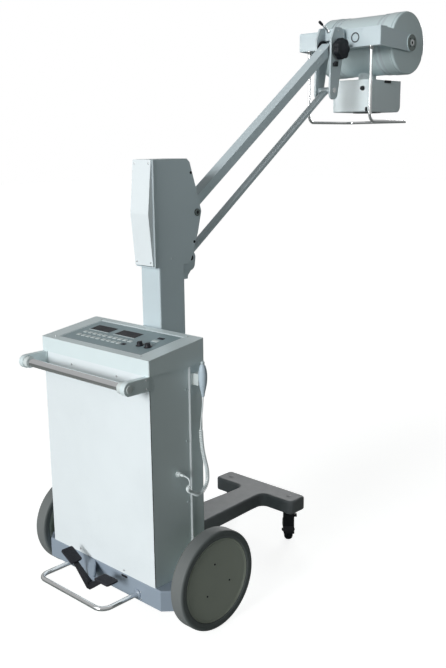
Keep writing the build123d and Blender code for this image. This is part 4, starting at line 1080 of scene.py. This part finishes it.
@dataclass(frozen=True)
class Console:
    """The console's border, windows, keys and knobs on its sloping top."""

    foot_z: float = 826.0
    rear_h: float = 47.5
    front_h: float = 78.0
    depth: float = 227.0
    overhang: float = 4.0
    sink: float = 1.5
    border: float = 3.0
    windows: tuple[Key, ...] = (Key(-118, 34, 96, 40, 1), Key(6, 34, 96, 40, 1))
    keys: tuple[Key, ...] = (
        *(Key(start + 24 * k, -14) for start in (-154, -30) for k in range(5)),
        *(Key(-154 + 24 * k, -42) for k in range(5)),
        *(Key(-30 + 24 * k, -42) for k in range(4)),
        Key(140, 48, 26, 13, 3), Key(140, 24, 26, 13, 2), Key(66, -42, 17, 13, 3),
    )
    knobs: Pairs = ((124, -26), (160, -26))
    knob: Outline = ((0, 0), (0, 13), (1.5, 13), (2, 9.5), (11, 8.6), (12, 7.6), (12, 0))
    pointer: tuple[Triple, Triple] = ((-0.8, 1.0, 12), (0.8, 8.5, 13.2))

    def build(self, hardware: Hardware) -> None:
        """Make the console's pieces on the panel's plane.

        Args:
            hardware: the trays that gather its screws, nuts and plugs.
        """
        lo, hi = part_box("console_panel")
        rise = (self.front_h - self.rear_h) / self.depth
        middle = Vector((0, (lo.y + hi.y) / 2, 0))
        ahead = middle.y / MM - REAR + self.overhang
        middle.z = (self.foot_z + self.rear_h + ahead * rise - self.sink) * MM
        out = Vector((0, -rise, 1)).normalized()
        plane = facing(middle, X_AXIS, out)
        half_x = (hi.x - lo.x) / 2 / MM
        half_y = (hi.y - lo.y) / 2 / MM / math.cos(math.atan(rise))
        self.sheet(plane, half_x, half_y)
        self.pads(plane)
        dials = Sculpt()
        for x, y in self.knobs:
            where = facing(plane @ (Vector((x, y, 0.4)) * MM), X_AXIS, out)
            dials.lathe(self.knob, where, 40)
            low, high = (where.translation + Vector(corner) * MM for corner in self.pointer)
            dials.box(low, high)
        dials.done("console_knobs", ROOT, "black_plastic")
        for x in (-1, 1):
            for y in (-1, 1):
                hardware.screw(ROOT, plane @ (Vector((x * (half_x + 8), y * (half_y + 6), 1.6)) * MM), out, 2.6)

    def sheet(self, plane: Matrix, half_x: float, half_y: float) -> None:
        """Make the dark sheet and its pale border.

        Args:
            plane: the panel's frame.
            half_x: half of the panel's width, in millimetres.
            half_y: half of its depth along the slope, in millimetres.
        """
        sheet = Sculpt()
        sheet.prism(rounded(0, 0, 2 * half_x - 1, 2 * half_y - 1, 5), plane, 0.5, 0.2)
        sheet.coat = 1
        side, front = half_x - self.border, half_y - self.border
        for x, y, w, h in ((0, front, 2 * side, 2), (0, -front, 2 * side, 2), (side, 0, 2, 2 * front),
                           (-side, 0, 2, 2 * front)):
            sheet.prism(rounded(x, y, w, h, 0.8), plane, 0.8)
        sheet.done("console_sheet_face", ROOT, "console_sheet", "panel_paint")

    def pads(self, plane: Matrix) -> None:
        """Make the windows, the bars under them and the keys.

        Args:
            plane: the panel's frame.
        """
        pads = Sculpt()
        for key in (*self.windows, *self.keys):
            pads.coat = key.finish - 1
            flat = key in self.windows
            pads.prism(rounded(key.x, key.y, key.w, key.h, 1.5 if flat else 2.5), plane, 1.0 if flat else 1.6, 0.4)
        pads.coat = 1
        for window in self.windows:
            pads.prism(rounded(window.x, window.y - window.h / 2 - 4.5, window.w + 4, 2.0, 0.9), plane, 1.2)
        pads.done("console_keys", ROOT, "black_plastic", "pale_plastic", "pad_rubber")


@dataclass(frozen=True)
class PushBar:
    """Caps, collar rings and foot flanges of the push bar's brackets."""

    bar: Pair = (-77.0, 804.5)
    bracket_x: float = 258.0
    collar_x: float = 238.0
    collar_w: float = 15.5
    cap: Outline = ((-0.5, 0), (-0.5, 12.5), (0.8, 12.2), (1.5, 11), (1.8, 8), (1.8, 0))
    collar: Pair = (12.8, 18.4)
    flange_x: float = 236.0
    flange_y: Pair = (-5.0, -0.2)
    flange_z: Pair = (782.5, 826.0)
    screw_y: float = -14.0
    screw_dz: float = 13.0

    def build(self, hardware: Hardware) -> None:
        """Make the push bar's pieces.

        Args:
            hardware: the trays that gather its screws, nuts and plugs.
        """
        y, z = self.bar
        caps, flanges = Sculpt(), Sculpt()
        for sign in (-1, 1):
            out = X_AXIS * sign
            caps.lathe(self.cap, facing(spot(sign * self.bracket_x, y, z), Y_AXIS, out))
            near, far = sorted((sign * self.flange_x, sign * self.bracket_x))
            flanges.box(spot(near, self.flange_y[0], self.flange_z[0]), spot(far, self.flange_y[1], self.flange_z[1]),
                        1.8, 3)
            for dz in (-self.screw_dz, self.screw_dz):
                hardware.screw(ROOT, spot(sign * self.bracket_x, self.screw_y, z + dz), out, 2.8)
            for x in (self.collar_x, self.collar_x - self.collar_w):
                caps.ring(facing(spot(sign * x, y, z), Y_AXIS, -out), *self.collar, 0.9, 0.4)
        caps.done("push_bar_caps", ROOT, "pale_plastic")
        flanges.done("push_bar_flanges", ROOT, "white_paint")


@dataclass(frozen=True)
class FootBrake:
    """Ribbed pads, the rocker's pivot bolt and its return spring."""

    pads: tuple[tuple[float, ...], ...] = ((-79.0, 182.0, 28.0, 61.5, 44.5), (93.0, 155.0, 0.0, 66.0, 46.0))
    pad_y: float = -60.3
    pad_t: float = 6.2
    ribs: int = 9
    rib_pitch: float = 6.5
    rib: Pair = (3.0, 40.0)
    pivot: Triple = (10.0, -68.3, 116.0)
    spring: Triple = (10.0, -61.0, 96.5)
    coils: int = 6
    coil_pitch: float = 2.4

    def build(self, hardware: Hardware) -> None:
        """Make the brake's pieces.

        Args:
            hardware: the trays that gather its screws, nuts and plugs.
        """
        pads = Sculpt()
        for x, z, tilt, w, h in self.pads:
            turn = math.radians(tilt)
            along = Vector((math.cos(turn), 0, -math.sin(turn)))
            up = Vector((math.sin(turn), 0, math.cos(turn)))
            plane = facing(spot(x, self.pad_y, z) - up * 7 * MM, along, up)
            pads.prism(rounded(0, 0, w, h, 6), plane, self.pad_t, 1.0, 2)
            for k in range(self.ribs):
                shorter = 3 * abs(k - self.ribs // 2) * 0.4
                pads.prism(rounded(-26 + self.rib_pitch * k, 0, self.rib[0], self.rib[1] - shorter, 1.2), plane, 7.0,
                           0.3, 1)
        pads.done("brake_pads_ribbed", ROOT, "pad_rubber", replaces=("brake_pads",))
        hardware.nut(ROOT, spot(*self.pivot), -Y_AXIS, 7.0, 6, "black_paint")
        spring = Sculpt()
        x, y, z = self.spring
        for k in range(self.coils):
            spring.ring(facing(spot(x, y + self.coil_pitch * k, z), X_AXIS, Y_AXIS), 4.2, 5.8, 1.5, 0.5, 24)
        spring.done("brake_spring", ROOT, "zinc")


@dataclass(frozen=True)
class Leg:
    """Plugs over the caster stems, the foot's bolts and the mast's base frame."""

    top: float = 182.0
    stem: Pair = (146.0, 778.5)
    stem_plug_r: float = 9.0
    bolt_x: float = 62.0
    bolt_y: Pair = (232.0, 364.0)
    base_half_w: float = 50.0
    base_y: Pair = (239.0, 363.0)
    base_t: float = 6.4
    base_h: float = 8.0

    def build(self, hardware: Hardware) -> None:
        """Make the leg's pieces.

        Args:
            hardware: the trays that gather its screws, nuts and plugs.
        """
        for sign in (-1, 1):
            hardware.plug(ROOT, spot(sign * self.stem[0], self.stem[1], self.top), Z_AXIS, self.stem_plug_r,
                          "leg_paint")
            for y in self.bolt_y:
                hardware.nut(ROOT, spot(sign * self.bolt_x, y, self.top), Z_AXIS, 6.0, 6)
        w, t, (rear, front) = self.base_half_w, self.base_t, self.base_y
        base = Sculpt()
        for x0, y0, x1, y1 in ((-w, rear, w, rear + t), (-w, front - t, w, front), (-w, rear + t, t - w, front - t),
                               (w - t, rear + t, w, front - t)):
            base.box(spot(x0, y0, self.top), spot(x1, y1, self.top + self.base_h), 1.6, 3)
        base.done("mast_base_frame", ROOT, "leg_paint")


@dataclass(frozen=True)
class MastHead:
    """Cover screws, cheek plugs, edge strips and pivot rings of the mast's head."""

    screws: tuple[Triple, ...] = ((221.5, 1422.0, 0.099), (219.6, 1114.0, -0.089))
    screw_x: float = 33.0
    cheek_x: float = 44.0
    plugs: Pairs = ((393.6, 1388.9), (404.3, 1165.2))
    plug_r: float = 5.0
    strip: Outline = ((43, 225.0), (44.2, 225.0), (47.0, 227.8), (47.0, 229.4), (46.2, 230.2), (43, 230.2))
    strip_z: float = 1099.0
    strip_h: float = 334.0
    pin: Triple = (47.0, 419.0, 1260.5)
    pin_ring: Pair = (5.5, 11.4)
    cheek_screw: Pair = (300.0, 1120.0)

    def build(self, hardware: Hardware) -> None:
        """Make the mast head's pieces.

        Args:
            hardware: the trays that gather its screws, nuts and plugs.
        """
        strips, rings = Sculpt(), Sculpt()
        foot = facing(Z_AXIS * self.strip_z * MM, X_AXIS, Z_AXIS)
        for sign in (-1, 1):
            for y, z, lean in self.screws:
                hardware.screw(ROOT, spot(sign * self.screw_x, y, z), Vector((0, -1, lean)), 3.2)
            for y, z in self.plugs:
                hardware.plug(ROOT, spot(sign * self.cheek_x, y, z), X_AXIS * sign, self.plug_r, "black_plastic")
            strips.prism([(sign * x, from_rear + REAR) for x, from_rear in self.strip], foot, self.strip_h, 0.3, 2)
            x, y, z = self.pin
            rings.ring(facing(spot(sign * x, y, z), Y_AXIS, X_AXIS * sign), *self.pin_ring, 0.9, 0.4)
        strips.done("mast_head_strips", ROOT, "grey_paint")
        rings.done("mast_pin_rings", ROOT, "cap_paint", finish="ring_paint")
        for sign in (1, -1):
            hardware.screw(ROOT, spot(sign * self.cheek_x, *self.cheek_screw), X_AXIS * sign, 2.8, "grey_paint")


@dataclass(frozen=True)
class Parallelogram:
    """Closed ends, weld beads and plugs of the arm."""

    pivot: Pair = (419.0, 1260.5)
    length: float = 950.0
    slope: float = 36.1
    half_w: float = 22.0
    height: float = 31.0
    rise: float = 12.0
    boss_r: float = 18.6
    bead_r: float = 1.1
    bead_points: int = 40
    top_plugs: Pair = (70.0, 905.0)
    side_plugs: Pair = (118.0, 842.0)

    def along(self, x: float, run: float, rise: float) -> Vector:
        """Return a place by how far it lies along and above the line of the arm's pivots."""
        turn = math.radians(self.slope)
        return spot(x, self.pivot[0] + run * math.cos(turn) - rise * math.sin(turn),
                    self.pivot[1] + run * math.sin(turn) + rise * math.cos(turn))

    def build(self, hardware: Hardware) -> None:
        """Make the arm's pieces.

        Args:
            hardware: the trays that gather its screws, nuts and plugs.
        """
        turn = math.radians(self.slope)
        ahead = Vector((0, math.cos(turn), math.sin(turn)))
        up = Vector((0, -math.sin(turn), math.cos(turn)))
        ends, beads = Sculpt(), Sculpt()
        for run, way in ((0.0, -1), (self.length, 1)):
            plane = facing(self.along(0, run, self.rise), X_AXIS, ahead * way)
            ends.prism(rounded(0, 0, 2 * self.half_w - 3, self.height - 3, 3), plane, 1.6, 0.6)
        ends.done("arm_end_plugs", ARM, "black_plastic")
        for sign in (-1, 1):
            for run in (0.0, self.length):
                centre = self.along(sign * (self.half_w + 0.2), run, 0)
                beads.bead([centre + (ahead * math.cos(a) + up * math.sin(a)) * self.boss_r * MM
                            for a in (math.tau * k / self.bead_points for k in range(self.bead_points))],
                           self.bead_r, 8)
        beads.done("arm_weld_beads", ARM, "white_paint")
        for run in self.top_plugs:
            hardware.plug(ARM, self.along(0, run, self.rise + self.height / 2), up, 5.0, "pale_plastic")
        for sign in (-1, 1):
            for run in self.side_plugs:
                hardware.plug(ARM, self.along(sign * self.half_w, run, self.rise), X_AXIS * sign, 4.0, "white_paint")


@dataclass(frozen=True)
class Yoke:
    """The lobed knob, the clamp lever, the friction discs, the stops and the spindle's cap."""

    pivot: Pair = (1186.6, 1820.2)
    disc_bore: float = 18.6
    discs: Pairs = ((23.6, 34.0), (25.8, 35.0), (28.0, 34.4))
    disc_t: float = 1.9
    stops: tuple[tuple[Triple, Triple], ...] = (
        ((38, 1160, 1757), (47, 1184, 1771)), ((38, 1168, 1768), (44, 1190, 1776)),
        ((-47, 1160, 1757), (-38, 1184, 1771)))
    plate_x: float = 38.0
    plate_screws: Pairs = ((38.0, 56.0), (6.0, 66.0))
    cap_offset: Pair = (8.9, 50.0)
    cap: Outline = ((-0.2, 0), (-0.2, 14.5), (0.6, 14), (1.1, 11), (1.4, 6), (1.4, 0))
    knob_x: float = 46.2
    knob_depth: float = 23.4
    knob_r: float = 34.8
    lobe: float = 4.6
    lobes: int = 7
    knob_points: int = 168
    knob_neck: Outline = ((0, 16), (8.6, 16), (8.6, 14))
    lever_offset: Triple = (-14.0, 16.4, 69.0)
    lever_way: Triple = (-11.0, -51.5, 36.0)
    lever_len: float = 60.0
    lever_hub: Outline = ((0, 0), (0, 7), (5.6, 7), (6.6, 6.2), (7.0, 5), (7.0, 0))
    grip: Outline = ((0, 0), (0, 3.8), (2, 4.8), (14, 5.4), (19.0, 5.2), (21.4, 3.6), (22, 0))

    def build(self, hardware: Hardware) -> None:
        """Make the yoke's pieces.

        Args:
            hardware: the trays that gather its screws, nuts and plugs.
        """
        self.knob()
        self.lever()
        y, z = self.pivot
        discs = Sculpt()
        for sign in (-1, 1):
            for step, (near, radius) in enumerate(self.discs):
                discs.coat = step % 2
                discs.ring(facing(spot(sign * near, y, z), Y_AXIS, X_AXIS * sign), self.disc_bore, radius,
                           self.disc_t, 0.4, 64)
        discs.done("friction_discs_stack", YOKE, "black_plastic", "pad_rubber", replaces=("friction_discs",))
        stops = Sculpt()
        for low, high in self.stops:
            stops.box(spot(*low), spot(*high), 2.2, 3)
        stops.done("yoke_stops", YOKE, "black_plastic")
        for sign in (-1, 1):
            for dy, dz in self.plate_screws:
                hardware.screw(YOKE, spot(sign * self.plate_x, y + dy, z + dz), X_AXIS * sign, 3.4)
        dy, dz = self.cap_offset
        cap = Sculpt().lathe(self.cap, facing(spot(0, y + dy, z + dz), X_AXIS, -Y_AXIS))
        cap.done("spindle_cap", FORK, "panel_paint")

    def knob(self) -> None:
        """Make the knob: seven round lobes on a short neck, under a flat cap."""
        y, z = self.pivot
        knob = Sculpt()
        outline = []
        for k in range(self.knob_points):
            a = math.tau * k / self.knob_points
            wave = 0.5 + 0.5 * math.cos(self.lobes * a)
            radius = self.knob_r + self.lobe * wave ** 0.7
            outline.append((radius * math.cos(a), radius * math.sin(a)))
        knob.prism(outline, facing(spot(self.knob_x, y, z), Y_AXIS, X_AXIS), self.knob_depth, 2.4, 3)
        knob.lathe(self.knob_neck, facing(spot(self.plate_x, y, z), Y_AXIS, X_AXIS), 40)
        knob.coat = 1
        face = self.knob_x + self.knob_depth - 0.2
        knob.ring(facing(spot(face, y, z), Y_AXIS, X_AXIS), 15.5, 18.5, 0.5, 0.2)
        knob.disc(facing(spot(face - 0.2, y, z), Y_AXIS, X_AXIS), 14.5, 0.75, 0.4)
        knob.done("yoke_knob_lobed", YOKE, "black_plastic", "pad_rubber", replaces=("yoke_knob",), smooth_angle=40)

    def lever(self) -> None:
        """Make the clamp lever: hub, chrome rod and black grip."""
        y, z = self.pivot
        dx, dy, dz = self.lever_offset
        root = spot(dx, y + dy, z + dz)
        tip = root + Vector(self.lever_way).normalized() * self.lever_len * MM
        ahead = (tip - root).normalized()
        grip_len = self.grip[-1][0]
        lever = Sculpt()
        lever.lathe(self.lever_hub, facing(root, X_AXIS, -Y_AXIS), 32)
        lever.rod(root + ahead * 3 * MM, tip - ahead * 12 * MM, 3.4)
        lever.coat = 1
        lever.lathe(self.grip, facing(tip - ahead * grip_len * MM, X_AXIS, ahead), 32)
        lever.done("clamp_lever_dressed", YOKE, "chrome", "black_plastic", replaces=("clamp_lever",))


@dataclass(frozen=True)
class ForkTrim:
    """The web's cover plates and index dial, the pivot rings' faces and the rail's sockets."""

    web: float = 1249.0
    low: float = 1829.2
    high: float = 1898.2
    plate_x: Pair = (100.0, 189.4)
    plate_screw_x: Pair = (108.0, 181.0)
    dial_x: float = 77.0
    dial_r: float = 13.6
    dial_rim: Pair = (14.2, 18.6)
    ticks: int = 12
    tick_circle: float = 11.4
    tube: Pair = (1462.0, 1850.2)
    arm_x: float = 193.0
    face_rings: tuple[tuple[float, ...], ...] = ((13.2, 31.2, 0.8, 0.5), (24.0, 25.4, 1.2, 0.3))
    cap_screws: int = 4
    cap_circle: float = 19.4
    trunnion_x: float = 194.0
    rail_x: float = 144.5
    rail_in: float = 7.0
    socket: Outline = ((0, 5.6), (0, 10.5), (3, 10.5), (5, 8.6), (12, 8.2), (13, 7.4), (13, 5.6))
    sleeve: Outline = ((0, 5.6), (0.8, 7.6), (41.2, 7.6), (42, 5.6))
    sleeve_z: float = 1775.0

    def build(self, hardware: Hardware) -> None:
        """Make the fork's pieces.

        Args:
            hardware: the trays that gather its screws, nuts and plugs.
        """
        plates = Sculpt()
        for sign in (1, -1):
            near, far = sorted(sign * x for x in self.plate_x)
            plates.box(spot(near, self.web - 2, self.low + 0.6), spot(far, self.web + 0.3, self.high - 0.6), 0.8, 3)
        plates.done("web_cover_plates", FORK, "panel_paint")
        face = facing(spot(self.dial_x, self.web, (self.low + self.high) / 2), X_AXIS, -Y_AXIS)
        dial = Sculpt().disc(face, self.dial_r, 1.2, 0.4)
        dial.coat = 1
        dial.ring(face, *self.dial_rim, 2.9, 0.6)
        for k in range(self.ticks):
            a = math.tau * k / self.ticks
            dial.prism(rounded(self.tick_circle * math.cos(a), self.tick_circle * math.sin(a), 1.0, 1.0, 0.4), face,
                       1.5)
        dial.done("index_dial", FORK, "panel_paint", "black_plastic")
        self.pivots(hardware)
        sockets = Sculpt()
        for sign in (-1, 1):
            sockets.lathe(self.socket, facing(spot(sign * self.rail_x, self.web + self.rail_in, self.low + 0.4),
                                              X_AXIS, -Z_AXIS), closed=True)
        sockets.lathe(self.sleeve, facing(spot(-self.rail_x, self.web + self.rail_in, self.sleeve_z), X_AXIS, Z_AXIS))
        sockets.done("rail_sockets", FORK, "chrome")
        for sign in (-1, 1):
            for x in self.plate_screw_x:
                for z in (self.low + 8, self.high - 8):
                    hardware.screw(FORK, spot(sign * x, self.web - 2, z), -Y_AXIS, 2.4, "panel_paint")

    def pivots(self, hardware: Hardware) -> None:
        """Face the pivot rings, with their screws, and the trunnions' ends inside them.

        Args:
            hardware: the trays that gather its screws, nuts and plugs.
        """
        y, z = self.tube
        rings = Sculpt()
        for _, sign in SIDES:
            out = X_AXIS * sign
            where = facing(spot(sign * self.arm_x, y, z), Y_AXIS, out)
            for inner, outer, height, bevel in self.face_rings:
                rings.ring(where, inner, outer, height, bevel, 64)
            for k in range(self.cap_screws):
                a = math.tau * (k + 0.5) / self.cap_screws
                place = spot(sign * (self.arm_x + 0.6), y + self.cap_circle * math.cos(a),
                             z + self.cap_circle * math.sin(a))
                hardware.screw(FORK, place, out, 2.6, "black_plastic")
        rings.done("pivot_ring_faces", FORK, "cap_paint", finish="ring_paint")
        for side, sign in SIDES:
            where = facing(spot(sign * self.trunnion_x, y, z), Y_AXIS, X_AXIS * sign)
            end = Sculpt().ring(where, 6.4, 11.6, 1.2, 0.5)
            end.coat = 1
            end.disc(where, 6.0, 0.7, 0.3)
            end.done(f"trunnion_face_{side}", HEAD, "zinc", "black_plastic")


@dataclass(frozen=True)
class TubeHead:
    """The collimator's housing and fittings, and the barrel's clamp bands."""

    rear: float = 1335.0
    front: float = 1563.0
    top: float = 1716.2
    bottom: float = 1593.2
    half_w: float = 85.0
    heel: float = 5.0
    nose: float = 25.0
    shutter: Pair = (56.0, 1683.0)
    shutter_r: float = 8.0
    shutter_h: float = 10.0
    latch: tuple[Pair, Pair] = ((1442.0, -11.0), (1486.0, -0.5))
    catch: tuple[Pair, Pair] = ((71.0, 1594.0), (80.0, 1611.0))
    button: Outline = ((0, 0), (0, 3.0), (5.5, 2.6), (6, 1.8), (6, 0))
    button_at: Pair = (75.5, 1602.5)
    window: Pair = (44.0, 56.0)
    hair: Pair = (43.0, 0.35)
    axis: Pair = (1462.0, 1850.2)
    barrel_half: float = 124.0
    barrel_r: float = 114.5
    bands: Pairs = ((0.4, 14.0), (24.0, 9.0))
    collar: Outline = ((0, 35.5), (0, 41), (3, 41), (4, 40), (4, 35.5))

    def build(self, hardware: Hardware) -> None:
        """Make the tube head's pieces.

        Args:
            hardware: the trays that gather its screws, nuts and plugs.
        """
        self.housing()
        self.fittings()
        self.beam_window()
        for sign in (-1, 1):
            for y in (self.rear + 16, self.front - 16):
                hardware.screw(HEAD, spot(sign * self.half_w, y, self.top - 12), X_AXIS * sign, 2.6, "tube_paint")
        bands = Sculpt()
        r = self.barrel_r
        for sign in (-1, 1):
            for inset, width in self.bands:
                near = spot(sign * (self.barrel_half - inset - width / 2), *self.axis)
                h = width / 2
                bands.lathe([(-h, r - 0.5), (-h, r + 0.8), (0.8 - h, r + 1.6), (h - 0.8, r + 1.6), (h, r + 0.8),
                             (h, r - 0.5)], facing(near, Y_AXIS, X_AXIS), 128, closed=True)
        bands.done("barrel_bands", HEAD, "tube_paint", finish="grey_paint")
        middle = (self.rear + self.front) / 2
        collar = Sculpt().lathe(self.collar, facing(spot(0, middle, self.top), X_AXIS, Z_AXIS))
        collar.done("port_collar", HEAD, "cap_paint")

    def housing(self) -> None:
        """Make the collimator's box, with its round heel and nose."""
        r, n = self.heel, self.nose
        outline = [(self.rear, self.top)]
        outline += [(self.rear + r - r * math.sin(a), self.bottom + r - r * math.cos(a))
                    for a in (math.radians(22.5 * k) for k in range(4, -1, -1))]
        outline += [(self.front - n + n * math.sin(a), self.bottom + n - n * math.cos(a))
                    for a in (math.radians(11.25 * k) for k in range(9))]
        outline.append((self.front, self.top))
        housing = Sculpt().prism(outline, facing(spot(-self.half_w, 0, 0), Y_AXIS, X_AXIS), 2 * self.half_w, 1.6, 3)
        housing.done("collimator_housing", HEAD, "tube_paint", replaces=("collimator",), smooth_angle=30)

    def fittings(self) -> None:
        """Make the shutter's knob, the latch, the catch and its button."""
        x, z = self.shutter
        r, h = self.shutter_r, self.shutter_h
        knob = Sculpt().lathe([(-0.5, 0), (-0.5, r + 1.5), (1.2, r + 1.2), (1.6, r), (h - 1, r - 0.6), (h, r - 1.8),
                               (h, 0)], facing(spot(x, self.rear, z), X_AXIS, -Y_AXIS), 40)
        knob.done("shutter_knob", HEAD, "black_plastic", replaces=("collimator_knobs",))
        fittings = Sculpt()
        (y0, z0), (y1, z1) = self.latch
        fittings.box(spot(self.half_w - 0.5, y0, self.top + z0), spot(self.half_w + 4, y1, self.top + z1), 1.6, 3)
        (x0, z0), (x1, z1) = self.catch
        fittings.box(spot(x0, self.rear - 3, z0), spot(x1, self.rear + 0.5, z1), 1.2, 3)
        x, z = self.button_at
        fittings.lathe(self.button, facing(spot(x, self.rear - 2.6, z), X_AXIS, -Y_AXIS), 24)
        fittings.done("collimator_fittings", HEAD, "black_plastic")

    def beam_window(self) -> None:
        """Make the window that the beam leaves by, with its cross hairs."""
        below = facing(spot(0, (self.rear + self.front) / 2, self.bottom - 0.3), X_AXIS, -Z_AXIS)
        inner, outer = self.window
        window = Sculpt().ring(below, inner, outer, 2.0, 0.8, 72)
        window.coat = 1
        window.disc(below, inner + 0.4, 0.6, 0.3, 72)
        window.coat = 0
        for x, y in (self.hair, self.hair[::-1]):
            window.prism([(-x, -y), (x, -y), (x, y), (-x, y)], below, 0.9)
        window.done("beam_window", HEAD, "black_plastic", "pale_plastic")


@dataclass(frozen=True)
class HandSwitch:
    """The almond-shaped exposure switch in its holder."""

    x: float = 287.0
    from_rear: float = 188.0
    low: float = 730.0
    high: float = 842.0
    body: Outline = ((0, 0), (0, 3.0), (2, 4.6), (10, 5.6), (24, 8.6), (40, 12.0), (56, 13.8), (72, 13.6),
                     (86, 11.8), (96, 9.2), (101, 7.4), (102, 0))
    ribs: Pairs = ((34.0, 11.6), (80.0, 12.9))
    button_foot: float = 100.0
    screw_x: float = 259.0
    screw_y: float = 171.5
    screw_z: Pair = (770.0, 798.0)

    def build(self, hardware: Hardware) -> None:
        """Make the switch and its button.

        Args:
            hardware: the trays that gather its screws, nuts and plugs.
        """
        length = self.high - self.low
        foot = facing(spot(self.x, self.from_rear, self.low), X_AXIS, Z_AXIS)
        grip = Sculpt().lathe(self.body, foot, 48)
        for z, radius in self.ribs:
            grip.ring(facing(spot(self.x, self.from_rear, self.low + z), X_AXIS, Z_AXIS), 8.0, radius, 1.0, 0.4)
        grip.coat = 1
        grip.lathe([(self.button_foot, 0), (self.button_foot, 6.2), (length - 2, 6.0), (length - 0.5, 4.6),
                    (length, 0)], foot, 32)
        grip.done("exposure_switch", ROOT, "pale_plastic", "grey_paint", replaces=("hand_switch",),
                  finish="switch_plastic")
        for z in self.screw_z:
            hardware.screw(ROOT, spot(self.screw_x, self.screw_y, z), X_AXIS, 1.8)


@dataclass(frozen=True)
class CurlyCord:
    """The switch's curly cord: a straight lead, a helix about a hanging line, and a straight tail."""

    wire: float = 4.0
    coil: float = 13.5
    turns: int = 57
    steps: int = 12
    ramp: float = 1.5
    lead: tuple[Triple, ...] = ((287, 188, 730), (286, 186, 697), (284, 182, 664), (283, 180, 632))
    curl: tuple[Triple, ...] = ((283, 180, 632), (283, 182, 580), (284, 192, 530), (285, 205, 484),
                                (284, 202, 440), (281, 172, 414), (279, 142, 432))
    rise: tuple[Triple, ...] = ((279, 127, 442), (288, 114, 456), (302, 107, 470))
    tail: tuple[Triple, ...] = ((308, 105, 486), (300, 105, 498), (282, 105, 498))

    def route(self, name: str, points: Sequence[Vector], bevel: float = 0.0) -> bpy.types.Object:
        """Make a NURBS curve through given control points.

        Args:
            name: the curve's name.
            points: its control points, in metres.
            bevel: its radius, in metres; without one it is a bare line.

        Returns:
            The curve's object.
        """
        curve = bpy.data.curves.new(name, "CURVE")
        curve.dimensions = "3D"
        spline = curve.splines.new("NURBS")
        spline.points.add(len(points) - 1)
        for point, place in zip(spline.points, points):
            point.co = (*place, 1.0)
        spline.order_u = 3
        spline.use_endpoint_u = True
        curve.resolution_u = 4 if bevel else 16
        curve.bevel_depth = bevel
        curve.bevel_resolution = 3
        curve.use_fill_caps = True
        holder = bpy.data.objects.new(name, curve)
        bpy.context.scene.collection.objects.link(holder)
        return holder

    def read(self, holder: bpy.types.Object) -> list[Vector]:
        """Read the points that a curve's spline runs through.

        Args:
            holder: the curve's object, without a bevel.

        Returns:
            The points, in metres.
        """
        bpy.context.view_layer.update()
        mesh = bpy.data.meshes.new_from_object(holder.evaluated_get(bpy.context.evaluated_depsgraph_get()))
        points = [v.co.copy() for v in mesh.vertices]
        bpy.data.meshes.remove(mesh)
        return points

    def build(self) -> None:
        guide = self.route("cord_guide", [spot(*p) for p in (*self.curl, *self.rise)])
        helix = self.helix(self.read(guide))
        bpy.data.objects.remove(guide)
        points = [spot(*p) for p in self.lead[:-1]] + helix + [spot(*p) for p in self.tail]
        cord = self.route("switch_cord", points, self.wire / 2 * MM)
        cord.data.materials.append(shop.get("cord_sheath"))
        cord.data.bevel_depth = 0.0
        line = self.read(cord)
        cord.data.bevel_depth = self.wire / 2 * MM
        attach(cord, ROOT)
        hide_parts("cord_lead", "cord_curl", "cord_tail")

    def helix(self, line: Sequence[Vector]) -> list[Vector]:
        """Wind turns about a line, growing from and dying into it at its ends.

        Args:
            line: the line's points.

        Returns:
            The points of the wound wire.
        """
        runs = [0.0]
        for a, b in zip(line, line[1:]):
            runs.append(runs[-1] + (b - a).length)
        total, count = runs[-1], self.turns * self.steps
        radius = (self.coil - self.wire) / 2 * MM
        grow = self.ramp * self.steps
        side, wound, index = X_AXIS.copy(), [], 0
        for k in range(count + 1):
            run = total * k / count
            while index < len(runs) - 2 and runs[index + 1] < run:
                index += 1
            a, b = line[index], line[index + 1]
            along = (b - a).normalized()
            here = a + (b - a) * ((run - runs[index]) / max(runs[index + 1] - runs[index], 1e-9))
            side = (side - along * side.dot(along)).normalized()
            other = along.cross(side)
            reach = radius * min(1.0, k / grow, (count - k) / grow)
            angle = math.tau * k / self.steps
            wound.append(here + (side * math.cos(angle) + other * math.sin(angle)) * reach)
        return wound


def main() -> None:
    """Build the studio, dress the CAD nodes and add every sub-assembly's pieces."""
    logging.basicConfig(level=logging.INFO, format="%(name)s: %(message)s")
    Studio().set_up()
    CadNodes().dress()
    hardware = Hardware()
    for assembly in (RearWheels(), Casters(), Cabinet(), Console(), PushBar(), FootBrake(), Leg(), MastHead(),
                     Parallelogram(), Yoke(), ForkTrim(), TubeHead(), HandSwitch()):
        assembly.build(hardware)
    CurlyCord().build()
    hardware.done()


if __name__ == "__main__":
    main()
